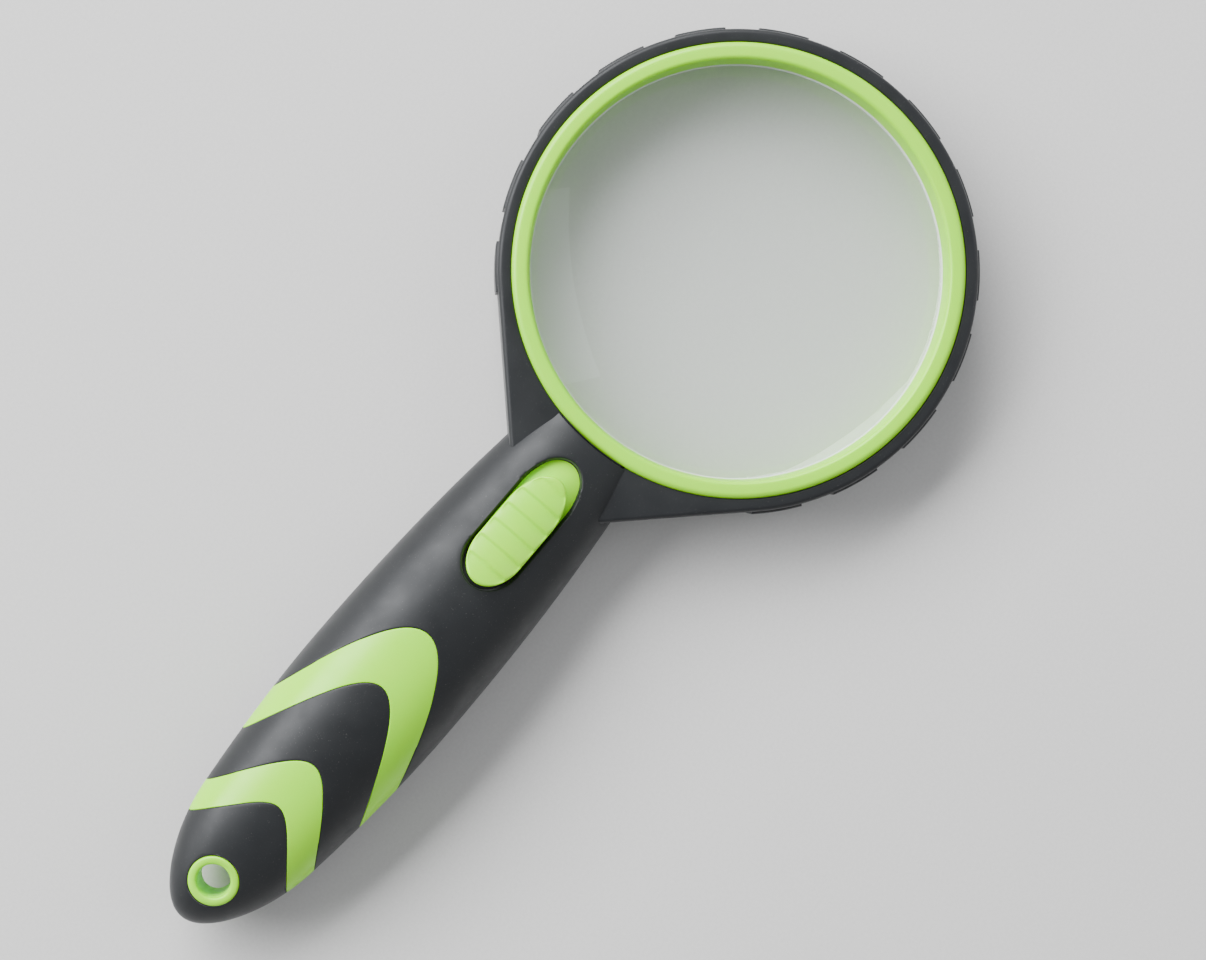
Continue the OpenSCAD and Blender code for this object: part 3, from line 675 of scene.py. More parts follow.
@dataclass(frozen=True)
class Ring:
    """Lens, channel, bezels and rubber rim.

    Attributes:
        finishes: The finishes.
        sizes: Sizes of the ring.
        steps: Steps round the bezels and the channel.
        lens_steps: Steps round the lens.
        rim_steps: Steps round the rubber rim.
        pad_count: Number of grip pads.
        pad_pitch: Angle from pad to pad in degrees.
        pad_arc: Angle that a pad covers in degrees.
        pad_inset: Distance of a pad from the rim's top and underside.
        pad_root: Depth to which a pad sits in the rim.
        pad_end_r: Radius of a pad's ends.
    """

    finishes: Finishes
    sizes: RingSizes = RingSizes()
    steps: int = 256
    lens_steps: int = 192
    rim_steps: int = 720
    pad_count: int = 14
    pad_pitch: float = 20.0
    pad_arc: float = 12.0
    pad_inset: float = 1.2
    pad_root: float = 0.6
    pad_end_r: float = 0.3

    def build(self) -> None:
        """Makes every piece of the ring."""
        self.build_lens()
        self.build_gasket()
        self.build_bezel(Half.UPPER)
        self.build_bezel(Half.LOWER)
        self.build_rim()

    def build_lens(self) -> None:
        """Makes the biconvex lens with a small ground chamfer."""
        s, rings = self.sizes, 30
        base = math.sqrt(s.face_r**2 - s.lens_r**2)
        upper = []
        for i in range(rings + 1):
            r = (s.lens_r - s.chamfer) * i / rings
            upper.append((r, s.lens_edge / 2 + math.sqrt(s.face_r**2 - r**2) - base))
        edge = s.lens_edge / 2 - s.chamfer * 0.6
        outline = [(r, s.mid_z + h) for r, h in upper]
        outline += [(s.lens_r, s.mid_z + edge), (s.lens_r, s.mid_z - edge)]
        outline += [(r, s.mid_z - h) for r, h in reversed(upper)]
        piece = Piece("lens_glass")
        piece.spin_outline(outline, s.x, self.lens_steps, closed=False)
        piece.finish(self.finishes.glass, Body.LENS, "lens", "lens")

    def build_gasket(self) -> None:
        """Makes the soft channel that holds the edge of the glass."""
        s = self.sizes
        half = [
            (s.groove_r, s.groove_half, 0.0), (s.gasket_inner_r, s.groove_half, 0.15),
            (s.gasket_inner_r, s.gasket_half, 0.2), (s.gasket_outer_r, s.gasket_half, 0.2),
        ]
        corners = [(r, s.mid_z + z, soft) for r, z, soft in half]
        corners += [(r, s.mid_z - z, soft) for r, z, soft in reversed(half)]
        outline = round_corners(corners, 3)
        piece = Piece("lens_channel")
        piece.spin_outline(outline, s.x, self.steps)
        piece.finish(self.finishes.silicone, Body.LENS, "gasket", "lens_gasket")

    def build_bezel(self, half: Half) -> None:
        """Makes a bezel with a rounded top and a sloping inner wall.

        Args:
            half: Which face of the ring it is on.
        """
        s = self.sizes
        corners = [
            (s.sight_r, s.bezel_foot, 0.1), (s.sight_r, s.sight_top, 0.0),
            (s.sight_r + 0.4, s.top, 0.75), (s.bezel_r, s.top, 1.1), (s.bezel_r, s.flange, 0.1),
            (s.skirt_r, s.flange, 0.1), (s.skirt_r, s.bezel_foot, 0.1),
        ]
        outline = round_corners(corners, 8)
        if half is Half.LOWER:
            outline = [(r, 2 * s.mid_z - z) for r, z in reversed(outline)]
        node = "front_bezel" if half is Half.UPPER else "rear_bezel"
        piece = Piece(f"{node}_ring")
        piece.spin_outline(outline, s.x, self.steps)
        piece.finish(self.finishes.lime, Body.LENS, "green_plastic", node)

    def outer_radius(self, angle: float) -> float:
        """Gives the distance from the ring's middle to the rubber's outside.

        Args:
            angle: Direction from the far edge, in radians, from -pi to pi.

        Returns:
            The distance in millimetres.
        """
        s = self.sizes
        turn = abs(angle)
        start = math.radians(s.shoulder)
        if turn <= start:
            return s.rim_r
        tip_turn = math.atan2(s.tip[1], s.tip[0])
        if turn <= tip_turn:
            return s.rim_r / math.cos(turn - start)
        if turn <= math.pi - math.atan(s.clear_slope):
            return s.tip[0] / math.cos(turn)
        return s.rim_inner_r + 0.3

    def build_rim(self) -> None:
        """Makes the rubber rim with its shoulders and grip pads."""
        s = self.sizes
        piece = Piece("rubber_rim")
        middle = (s.rim_inner_r + s.rim_r) / 2
        corners = [
            (s.rim_inner_r, s.rim_high, 0.3), (s.rim_r, s.rim_high, 0.9),
            (s.rim_r, s.rim_low, 0.9), (s.rim_inner_r, s.rim_low, 0.3),
        ]
        outline = round_corners(corners, 6)
        turned = piece.spin_outline(outline, s.x, self.rim_steps)
        for vert in turned:
            x, y = vert.co.x / MM - s.x, vert.co.y / MM
            radius = math.hypot(x, y)
            if radius < middle:
                continue
            grown = (radius + self.outer_radius(math.atan2(y, x)) - s.rim_r) / radius
            vert.co.x, vert.co.y = (s.x + x * grown) * MM, y * grown * MM
        for index in range(self.pad_count):
            middle_turn = (index - (self.pad_count - 1) / 2) * self.pad_pitch
            self.add_pad(piece, middle_turn - self.pad_arc / 2)
        piece.finish(self.finishes.rubber, Body.LENS, "rubber", "rim_tyre")

    def add_pad(self, piece: Piece, start: float) -> None:
        """Adds one raised pad to the rim.

        Args:
            piece: The rim being made.
            start: Direction of the pad's first end in degrees.
        """
        s = self.sizes
        low, high = s.rim_low + self.pad_inset, s.rim_high - self.pad_inset
        root_r = s.rim_r - self.pad_root
        corners = [(root_r, high, 0.1), (s.pad_r, high, 0.6), (s.pad_r, low, 0.6), (root_r, low, 0.1)]
        made = piece.spin_outline(round_corners(corners, 4), s.x, 12, start, self.pad_arc)
        ends = {e for v in made for e in v.link_edges if e.is_boundary}
        capped = bmesh.ops.holes_fill(piece.bm, edges=list(ends), sides=0)
        edges = {e for f in capped["faces"] for e in f.edges}
        bevel_edges(piece.bm, list(edges), self.pad_end_r, 3, True)


# ---------------------------------------------------------------- the handle


@dataclass(frozen=True)
class Swell:
    """A size that rises from the neck to the belly and falls to the tail.

    Attributes:
        neck: Its value at the neck.
        belly: Its value at the belly.
        tail: Its value at the tail.
        front: Power of its curve before the belly.
        rear: Power of its curve behind the belly.
    """

    neck: float
    belly: float
    tail: float
    front: float
    rear: float


@dataclass(frozen=True)
class HandleForm:
    """Outside shape of the handle, in millimetres.

    Attributes:
        neck_x: Place along x where the handle meets the ring.
        length: Length from the ring to the tail.
        part_z: Height of the joint between the halves.
        belly_at: Distance of the widest place from the ring.
        tail_begin: Distance at which the tail starts to round.
        neck_r: Radius of the cut that faces the ring.
        side: Half the width along the handle.
        crest: Height of the back along the handle.
        lifts: Rise of the underside at the neck and at the tail.
        tail_powers: Powers of the tail's rounding in plan and from the side.
        powers: Powers of the section's curve above and below the joint.
    """

    neck_x: float = 13.1021
    length: float = 109.2
    part_z: float = 8.4
    belly_at: float = 56.0
    tail_begin: float = 88.3
    neck_r: float = 40.3
    side: Swell = Swell(11.0, 14.5, 9.3, 2.2, 1.8)
    crest: Swell = Swell(15.4, 20.6, 12.6, 1.9, 2.0)
    lifts: tuple[float, float] = (0.5, 3.6)
    tail_powers: tuple[float, float] = (2.2, 6.0)
    powers: tuple[float, float] = (2.1, 2.5)


@dataclass(frozen=True)
class Surface:
    """Outside of one half of the handle, or a surface below it.

    Distances along the handle run from the ring. Shares go from -1 at one
    side over 0 at the crest to 1 at the other side.

    Attributes:
        form: Shape of the handle.
        half: Half that it lies on.
        depth: Depth below the outside in millimetres.
    """

    form: HandleForm
    half: Half
    depth: float = 0.0

    def along(self, u: float, size: Swell) -> float:
        """Gives a size at a distance from the ring.

        Args:
            u: Distance from the ring.
            size: The size.

        Returns:
            Its value there.
        """
        middle = self.form.belly_at
        if u < middle:
            return size.belly - (size.belly - size.neck) * ((middle - u) / middle) ** size.front
        part = (u - middle) / (self.form.length - middle)
        return size.belly - (size.belly - size.tail) * part**size.rear

    def rounding(self, u: float, power: float) -> float:
        """Gives the share of the section left by the rounded tail.

        Args:
            u: Distance from the ring.
            power: Power of the rounding.

        Returns:
            A share from 1 to 0.
        """
        begin = self.form.tail_begin
        if u < begin:
            return 1.0
        share = (u - begin) / (self.form.length - self.depth - begin)
        return math.sqrt(max(0.0, 1.0 - share**power))

    def half_width(self, u: float) -> float:
        """Gives half the width of the section."""
        width = self.along(max(u, 0.0), self.form.side) - self.depth
        return width * self.rounding(u, self.form.tail_powers[0])

    def rise(self, u: float) -> float:
        """Gives the height above or below the joint.

        Args:
            u: Distance from the ring.

        Returns:
            The height.
        """
        form = self.form
        if self.half is Half.UPPER:
            height = self.along(max(u, 0.0), form.crest) - form.part_z - self.depth
        else:
            front = u < form.belly_at
            reach = form.belly_at if front else form.length - form.belly_at
            lift = form.lifts[0] if front else form.lifts[1]
            height = form.part_z - self.depth - lift * (abs(u - form.belly_at) / reach) ** 2
        return height * self.rounding(u, form.tail_powers[1])

    def power(self) -> float:
        """Gives the power of the section's curve."""
        return self.form.powers[0] if self.half is Half.UPPER else self.form.powers[1]

    def across(self, u: float, share: float) -> float:
        """Gives the signed distance from the middle at a share of the way round.

        Args:
            u: Distance from the ring.
            share: Share of the way round.

        Returns:
            The distance.
        """
        turn = math.cos(math.pi / 2 * (1.0 - share))
        size = abs(turn) ** (2.0 / self.power())
        return self.half_width(u) * math.copysign(size, turn)

    def share(self, u: float, y: float) -> float:
        """Gives the share of the way round at a distance from the middle.

        Args:
            u: Distance from the ring.
            y: Distance from the middle.

        Returns:
            The share.
        """
        ratio = max(-1.0, min(1.0, y / max(self.half_width(u), 1e-6)))
        turn = math.acos(math.copysign(abs(ratio) ** (self.power() / 2.0), ratio))
        return 1.0 - turn / (math.pi / 2)

    def point(self, u: float, share: float) -> Vector:
        """Gives a point of the surface.

        Args:
            u: Distance from the ring.
            share: Share of the way round.

        Returns:
            The point in metres.
        """
        turn = math.sin(math.pi / 2 * (1.0 - share))
        height = self.rise(u) * max(0.0, turn) ** (2.0 / self.power())
        z = self.form.part_z + (height if self.half is Half.UPPER else -height)
        return Vector((self.form.neck_x - u, self.across(u, share), z)) * MM

    def level(self, u: float, y: float) -> float:
        """Gives the height of the surface at a place in plan."""
        return self.point(u, self.share(u, y)).z / MM


Row = Callable[[float], float]

# Search for a chevron's leg: longest leg in millimetres, and steps that halve the search
LEG_REACH = 50.0
HALVINGS = 44


class Skin:
    """A surface laid on the handle cell by cell."""

    def __init__(self, piece: Piece, surface: Surface) -> None:
        """Starts a skin on a piece."""
        self.piece = piece
        self.surface = surface

    def straight(self, u: float) -> Row:
        """Gives a row at one distance from the ring."""
        return lambda share: u

    def neck(self) -> Row:
        """Gives the row along the cut that faces the ring.

        Returns:
            The row.
        """
        neck_r = self.surface.form.neck_r

        def row(share: float) -> float:
            """Gives the distance from the ring at a share."""
            y = self.surface.across(0.0, share)
            return math.sqrt(neck_r**2 - y**2) - neck_r

        return row

    def chevron(self, u: float, tip_r: float, spread: float) -> Row:
        """Gives the row along a chevron's edge.

        Args:
            u: Distance of its tip from the ring.
            tip_r: Radius of the tip.
            spread: How fast the legs part.

        Returns:
            The row.
        """
        found: dict[float, float] = {}

        def row(share: float) -> float:
            """Gives the distance from the ring at a share, searched once."""
            key = round(share, 9)
            if key not in found:
                low, high = u, u + LEG_REACH
                for _ in range(HALVINGS):
                    middle = (low + high) / 2
                    y = abs(self.surface.across(middle, share))
                    reach = (math.sqrt(tip_r**2 + (spread * y) ** 2) - tip_r) / spread**2
                    low, high = (middle, high) if middle - u < reach else (low, middle)
                found[key] = (low + high) / 2
            return found[key]

        return row

    def strip(
        self,
        rows: tuple[Row, Row],
        sides: tuple[float, float] = (-1.0, 1.0),
        counts: tuple[int, int] = (10, 28),
        spacing: Spacing = Spacing.EVEN,
    ) -> None:
        """Lays a plain cell between two rows.

        Args:
            rows: First and last row.
            sides: Shares at its two sides.
            counts: Faces along and across.
            spacing: How rows are spread.
        """
        made = bmesh.ops.create_grid(self.piece.bm, x_segments=counts[0], y_segments=counts[1], size=1.0)
        for vert in made["verts"]:
            ahead, across = (vert.co.x + 1) / 2, (vert.co.y + 1) / 2
            if spacing is Spacing.TAIL:
                ahead = math.sin(ahead * math.pi / 2)
            share = lerp(sides[0], sides[1], across)
            u = lerp(rows[0](share), rows[1](share), ahead)
            vert.co = self.surface.point(u, share)

    def border(
        self, rows: tuple[Row, Row], sides: tuple[float, float], counts: tuple[int, int]
    ) -> list[PlanPoint]:
        """Lists the points round a cell.

        Args:
            rows: First and last row.
            sides: Shares at its two sides.
            counts: Faces along and across.

        Returns:
            Distance and share of each point.
        """
        ahead, across = counts
        walk = [(0.0, i / across) for i in range(across)]
        walk += [(i / ahead, 1.0) for i in range(ahead)]
        walk += [(1.0, 1.0 - i / across) for i in range(across)]
        walk += [(1.0 - i / ahead, 0.0) for i in range(ahead)]
        points = []
        for along, side in walk:
            share = lerp(sides[0], sides[1], side)
            points.append((lerp(rows[0](share), rows[1](share), along), share))
        return points

    def around(self, border: Sequence[PlanPoint], hole: Sequence[PlanPoint], rings: int) -> None:
        """Lays a cell between its border and a hole.

        Args:
            border: Distance and share of the points round the cell.
            hole: Distance and sideways place of the points round the hole.
            rings: Faces between hole and border.
        """
        shares = [(u, self.surface.share(u, y)) for u, y in hole]
        low = [min(p[i] for p in shares) for i in (0, 1)]
        high = [max(p[i] for p in shares) for i in (0, 1)]
        centre = [(low[i] + high[i]) / 2 for i in (0, 1)]
        reach = [(high[i] - low[i]) / 2 for i in (0, 1)]

        def direction(point: PlanPoint) -> float:
            """Gives the direction of a point from the hole's middle."""
            return math.atan2((point[1] - centre[1]) / reach[1], (point[0] - centre[0]) / reach[0])

        ordered = sorted((direction(p), p) for p in shares)
        ordered = [(ordered[-1][0] - 2 * math.pi, ordered[-1][1])] + ordered
        ordered.append((ordered[1][0] + 2 * math.pi, ordered[1][1]))
        inner = []
        for point in border:
            turn = direction(point)
            index = next(i for i in range(1, len(ordered)) if ordered[i][0] >= turn)
            (t0, p0), (t1, p1) = ordered[index - 1], ordered[index]
            part = 0.0 if t1 <= t0 else (turn - t0) / (t1 - t0)
            inner.append((lerp(p0[0], p1[0], part), lerp(p0[1], p1[1], part)))
        for vert, index, out in ring_grid(self.piece.bm, len(border), rings):
            u = lerp(inner[index][0], border[index][0], out)
            share = lerp(inner[index][1], border[index][1], out)
            vert.co = self.surface.point(u, share)

    def holed(
        self,
        rows: tuple[Row, Row],
        sides: tuple[float, float],
        counts: tuple[int, int],
        hole: Sequence[PlanPoint],
        rings: int,
    ) -> None:
        """Lays a cell with a hole."""
        self.around(self.border(rows, sides, counts), hole, rings)

    def join(self) -> None:
        """Joins the cells where they touch."""
        bmesh.ops.remove_doubles(self.piece.bm, verts=self.piece.bm.verts, dist=2e-6)


def circle_outline(u: float, y: float, radius: float, count: int = 180) -> list[PlanPoint]:
    """Lists points round a circle."""
    turns = [2 * math.pi * i / count for i in range(count)]
    return [(u + radius * math.cos(t), y + radius * math.sin(t)) for t in turns]


def soft_rectangle(u0: float, u1: float, half_w: float, radius: float) -> list[PlanPoint]:
    """Lists points round a rectangle with round corners.

    Args:
        u0: Its near end.
        u1: Its far end.
        half_w: Half its width.
        radius: Radius of the corners.

    Returns:
        The points, close together.
    """
    corners = [
        (u0, -half_w, radius), (u1, -half_w, radius), (u1, half_w, radius), (u0, half_w, radius),
    ]
    return spread_points(round_corners(corners, 12), 0.2)


def spread_points(points: Sequence[PlanPoint], step: float) -> list[PlanPoint]:
    """Adds points along the long sides of a closed outline.

    Args:
        points: The outline.
        step: Greatest distance between points.

    Returns:
        The finer outline.
    """
    fine: list[PlanPoint] = []
    for index, (x0, y0) in enumerate(points):
        x1, y1 = points[(index + 1) % len(points)]
        parts = max(1, math.ceil(math.hypot(x1 - x0, y1 - y0) / step))
        fine += [(lerp(x0, x1, i / parts), lerp(y0, y1, i / parts)) for i in range(parts)]
    return fine


@dataclass(frozen=True)
class Oval:
    """Oval with half-ellipse ends, in the slope's own plane.

    Attributes:
        length: Its length.
        width: Its width.
        nose: Reach of the end towards the ring.
        tail: Reach of the end towards the tail.
        middle: Place of its middle along the slope.
        taper: Share of the width lost at the tail end.
    """

    length: float
    width: float
    nose: float
    tail: float
    middle: float = 0.0
    taper: float = 0.0

    def outline(self, step: float = 0.14) -> list[PlanPoint]:
        """Lists points round the oval.

        Args:
            step: Distance between points on the long sides.

        Returns:
            Points along and across the slope.
        """
        front, back = self.length / 2 - self.nose, -self.length / 2 + self.tail
        ends = 56
        points = [
            (front + self.nose * math.cos(t), self.width / 2 * math.sin(t))
            for t in (math.pi * (i / ends - 0.5) for i in range(ends + 1))
        ]
        points += [
            (back + self.tail * math.cos(t), self.width / 2 * math.sin(t))
            for t in (math.pi * (i / ends + 0.5) for i in range(ends + 1))
        ]
        narrow = self.taper / self.length
        return [
            (x + self.middle, y * (1.0 - narrow * (self.length / 2 - x)))
            for x, y in spread_points(points, step)
        ]

    def spine(self, x: float) -> float:
        """Gives the nearest place on the oval's straight middle line.

        Args:
            x: Place along the slope.

        Returns:
            The place on the line.
        """
        front = self.middle + self.length / 2 - self.width / 2
        back = self.middle - self.length / 2 + self.width / 2
        return max(back, min(front, x))


@dataclass(frozen=True)
class Slope:
    """Plane of the thumb slide on the back of the handle.

    Attributes:
        x: Place of its origin.
        z: Height of its origin.
        tilt: Its tilt in degrees, down towards the ring.
    """

    x: float = -4.848
    z: float = 18.105
    tilt: float = 7.10245

    def place(self, along: float, across: float, up: float) -> Vector:
        """Turns slope coordinates into a place in the frame.

        Args:
            along: Distance up the slope's x.
            across: Sideways distance.
            up: Height above the slope.

        Returns:
            The place in metres.
        """
        turn = math.radians(self.tilt)
        x = self.x + along * math.cos(turn) + up * math.sin(turn)
        z = self.z - along * math.sin(turn) + up * math.cos(turn)
        return Vector((x, across, z)) * MM


class Edges(Enum):
    """Chevron edges: distance of the tip, radius of the tip and spread."""

    LARGE_OUTER = (43.0, 3.98, 0.05)
    LARGE_INNER = (55.0, 3.0, 0.32)
    SMALL_OUTER = (72.9, 3.0, 0.53)
    SMALL_INNER = (82.3, 2.6, 0.7)


@dataclass(frozen=True)
class Handle:
    """Grips, shells, thumb slide, eye and door.

    Attributes:
        finishes: The finishes.
        form: Outside shape of the handle.
        slope: Plane of the thumb slide.
        pocket: Outline of the pocket.
        button: Outline of the thumb button.
        painted_shade_floor: Outline of the black rubber floor round the button, laid so the gap round the button shows
            dark all round: painted shade in dark rubber.
        painted_shade_depth: Depth of that floor.
        lime_floor: Outline of the lime floor under the button.
        lime_depth: Depth of that floor.
        floor_r: Radius of the floors' crown.
        eye_at: Distance of the eye from the ring.
        eye_r: Outer radius of the eye.
        bore_r: Radius of the eye's bore.
        eye_proud: Height of the eye above the handle.
        hairline: Gap between rubber and chevron.
        undercut: Slope of the button's wall, inwards.
        button_wall: Height of the button's wall.
        button_proud: Height of the button's crown above the slope.
        button_crown_r: Radius of the button's crown.
        button_edge_r: Radius of the button's edge.
        step_count: Number of thumb steps.
        step_pitch: Distance from step to step.
        step_depth: Depth of a step.
        step_cut: Share of the pitch that a step's short side takes.
        step_start: Distance from the edge over which the steps fade in.
        screw_hole_r: Radius of the rubber's screw holes.
        door_screw_r: Radius of the door's screw holes.
        core_depth: Depth of the shell under the rubber.
        door_depth: Depth of the door below the rubber.
        door_inner_z: Height of the door's inner face.
    """

    finishes: Finishes
    form: HandleForm = HandleForm()
    slope: Slope = Slope()
    pocket: Oval = Oval(27.7, 10.8, 8.2, 6.8)
    button: Oval = Oval(23.1, 9.5, 8.0, 6.8, -1.75)
    # Black rubber floor under the gap round the button: painted shade in dark rubber
    painted_shade_floor: Oval = Oval(28.8, 11.9, 8.7, 7.3)
    painted_shade_depth: float = 2.05
    lime_floor: Oval = Oval(26.0, 10.35, 7.95, 6.0, 0.6, 0.12)
    lime_depth: float = 1.7
    eye_at: float = 99.9
    eye_r: float = 4.55
    bore_r: float = 2.9
    hairline: float = 0.05
    undercut: float = 0.5
    button_wall: float = 2.3
    button_proud: float = 1.3
    button_crown_r: float = 14.0
    button_edge_r: float = 0.5
    step_count: int = 6
    step_pitch: float = 3.57
    step_depth: float = 0.42
    step_cut: float = 0.17
    step_start: float = 0.4
    floor_r: float = 16.0
    eye_proud: float = 0.12
    screw_hole_r: float = 2.5
    door_screw_r: float = 2.05
    core_depth: float = 2.4
    door_depth: float = 0.35
    door_inner_z: float = 2.3

    def build(self) -> None:
        """Makes every piece of the handle."""
        self.build_upper_grip()
        self.build_upper_shell()
        self.build_lower_grip()
        self.build_button()
        self.build_eye()
        self.build_door()

    def edge(self, skin: Skin, edge: Edges, shift: float = 0.0) -> Row:
        """Gives the row along a chevron's edge on a skin."""
        u, tip_r, spread = edge.value
        return skin.chevron(u + shift, tip_r, spread)

    def pocket_plan(self) -> list[PlanPoint]:
        """Lists the pocket's outline as seen on the handle's surface.

        Returns:
            Distance from the ring and sideways place of each point.
        """
        back = Surface(self.form, Half.UPPER)
        points = []
        for along, across in self.pocket.outline():
            up = 0.0
            for _ in range(6):
                place = self.slope.place(along, across, up) / MM
                u = self.form.neck_x - place.x
                up += back.level(u, across) - place.z
            points.append((u, across))
        return points

    def build_upper_grip(self) -> None:
        """Makes the three fields of rubber on the back."""
        skin = Skin(Piece("upper_rubber"), Surface(self.form, Half.UPPER))
        gap = self.hairline
        inner = 0.55
        behind_pocket = skin.straight(36.0)
        rows = (skin.neck(), behind_pocket)
        skin.holed(rows, (-inner, inner), (60, 48), self.pocket_plan(), 6)
        for sides in ((-1.0, -inner), (inner, 1.0)):
            skin.strip(rows, sides, (60, 10))
        large = self.edge(skin, Edges.LARGE_OUTER, -gap)
        for sides, count in (((-1.0, -inner), 10), ((-inner, inner), 48), ((inner, 1.0), 10)):
            skin.strip((behind_pocket, large), sides, (18, count))
        between = (self.edge(skin, Edges.LARGE_INNER, gap), self.edge(skin, Edges.SMALL_OUTER, -gap))
        skin.strip(between, counts=(26, 56))
        before_eye = skin.straight(95.0)
        tail_row = skin.straight(105.0)
        small = self.edge(skin, Edges.SMALL_INNER, gap)
        eye = circle_outline(self.eye_at, 0.0, self.eye_r + 0.05)
        for sides, count in (((-1.0, -0.6), 8), ((-0.6, 0.6), 40), ((0.6, 1.0), 8)):
            skin.strip((small, before_eye), sides, (10, count))
            if count == 8:
                skin.strip((before_eye, tail_row), sides, (20, count))
            skin.strip((tail_row, skin.straight(self.form.length)), sides, (18, count), Spacing.TAIL)
        skin.holed((before_eye, tail_row), (-0.6, 0.6), (20, 40), eye, 7)
        skin.join()

        def soft_edge(place: Vector) -> bool:
            """Tells whether a place is on the pocket's edge or the neck's."""
            u, y = self.form.neck_x - place.x / MM, abs(place.y) / MM
            in_pocket = 3.0 < u < 33.0 and y < 6.5
            at_neck = u < 0.2 and place.z / MM > self.form.part_z + 0.05
            return in_pocket or at_neck

        skin.piece.fold_rim(2.2, 0.2, soft_edge, 0.36)
        # Black rubber floor, wider than the lime floor, so the gap round the button reads dark: painted shade
        self.add_floor(skin.piece, self.painted_shade_floor, self.painted_shade_depth)
        skin.piece.finish(self.finishes.rubber, Body.LENS, "rubber", "upper_grip")

    def build_upper_shell(self) -> None:
        """Makes the lime shell: chevrons, pocket floor and the core below the rubber."""
        skin = Skin(Piece("upper_lime_shell"), Surface(self.form, Half.UPPER))
        large = (self.edge(skin, Edges.LARGE_OUTER), self.edge(skin, Edges.LARGE_INNER))
        small = (self.edge(skin, Edges.SMALL_OUTER), self.edge(skin, Edges.SMALL_INNER))
        skin.strip(large, counts=(24, 64))
        skin.strip(small, counts=(20, 64))
        skin.join()
        skin.piece.fold_rim(2.2, 0.15)
        self.add_floor(skin.piece, self.lime_floor, self.lime_depth)
        self.add_core(skin)
        skin.piece.finish(self.finishes.lime, Body.LENS, "green_plastic", "upper_shell")

    def add_floor(self, piece: Piece, oval: Oval, depth: float) -> None:
        """Adds a crowned floor to the pocket.

        Args:
            piece: The piece being made.
            oval: Outline of the floor.
            depth: Depth of its crown below the back of the handle.
        """
        crown, rings = self.floor_r, 12
        outline = oval.outline(0.3)
        made = ring_grid(piece.bm, len(outline), rings)
        for vert, index, share in made:
            x, y = outline[index]
            along = lerp(oval.spine(x), x, share)
            across = y * share
            up = math.sqrt(crown**2 - across**2) - crown - depth
            vert.co = self.slope.place(along, across, up)
        bmesh.ops.remove_doubles(piece.bm, verts=[v for v, _, _ in made], dist=1e-6)

    def add_core(self, skin: Skin) -> None:
        """Adds the shell that lies under the rubber.

        Args:
            skin: The shell being made.
        """
        core = Skin(skin.piece, Surface(self.form, Half.UPPER, self.core_depth))
        known = set(skin.piece.bm.verts)
        before_eye, tail_row = core.straight(94.9), core.straight(104.9)
        end = core.straight(self.form.length - self.core_depth)
        eye = circle_outline(self.eye_at, 0.0, self.eye_r)
        for sides, count in (((-1.0, -0.8), 4), ((-0.8, 0.8), 30), ((0.8, 1.0), 4)):
            core.strip((core.neck(), before_eye), sides, (48, count))
            if count == 4:
                core.strip((before_eye, tail_row), sides, (16, count))
            core.strip((tail_row, end), sides, (8, count), Spacing.TAIL)
        core.holed((before_eye, tail_row), (-0.8, 0.8), (16, 30), eye, 5)
        made = [v for v in skin.piece.bm.verts if v not in known]
        bmesh.ops.remove_doubles(skin.piece.bm, verts=made, dist=2e-6)

    def build_lower_grip(self) -> None:
        """Makes the rubber on the underside with its openings."""
        skin = Skin(Piece("lower_rubber"), Surface(self.form, Half.LOWER))
        inner, wide, side = 0.7, 24, 6
        marks = [7.9, 14.4, 27.4, 63.6, 72.4, 81.6, 90.4, 94.9, 104.9]
        rows = [skin.neck()] + [skin.straight(u) for u in marks]
        along = [16, 14, 14, 40, 14, 10, 14, 6, 20]
        window = soft_rectangle(2.15, 7.05, 5.45, 1.25)
        door = soft_rectangle(28.6, 62.4, 7.9, 2.8)
        holes = {
            0: window,
            3: door,
            4: circle_outline(68.0, 0.0, self.screw_hole_r),
            6: circle_outline(86.0, 0.0, self.screw_hole_r),
            8: circle_outline(self.eye_at, 0.0, self.eye_r + 0.05),
        }
        for index, count in enumerate(along):
            pair = (rows[index], rows[index + 1])
            skin.strip(pair, (-1.0, -inner), (count, side))
            skin.strip(pair, (inner, 1.0), (count, side))
            if index == 1:
                for sign in (-1, 1):
                    sides = (-inner, 0.0) if sign < 0 else (0.0, inner)
                    hole = circle_outline(10.9, 4.2 * sign, self.screw_hole_r)
                    skin.holed(pair, sides, (count, wide // 2), hole, 6)
            elif index in holes:
                skin.holed(pair, (-inner, inner), (count, wide), holes[index], 8)
            else:
                skin.strip(pair, (-inner, inner), (count, wide))
        end = skin.straight(self.form.length)
        for sides, count in (((-1.0, -inner), side), ((-inner, inner), wide), ((inner, 1.0), side)):
            skin.strip((rows[-1], end), sides, (18, count), Spacing.TAIL)
        skin.join()
        skin.piece.fold_rim(1.6, 0.2)
        skin.piece.finish(self.finishes.rubber, Body.LENS, "rubber", "lower_grip")

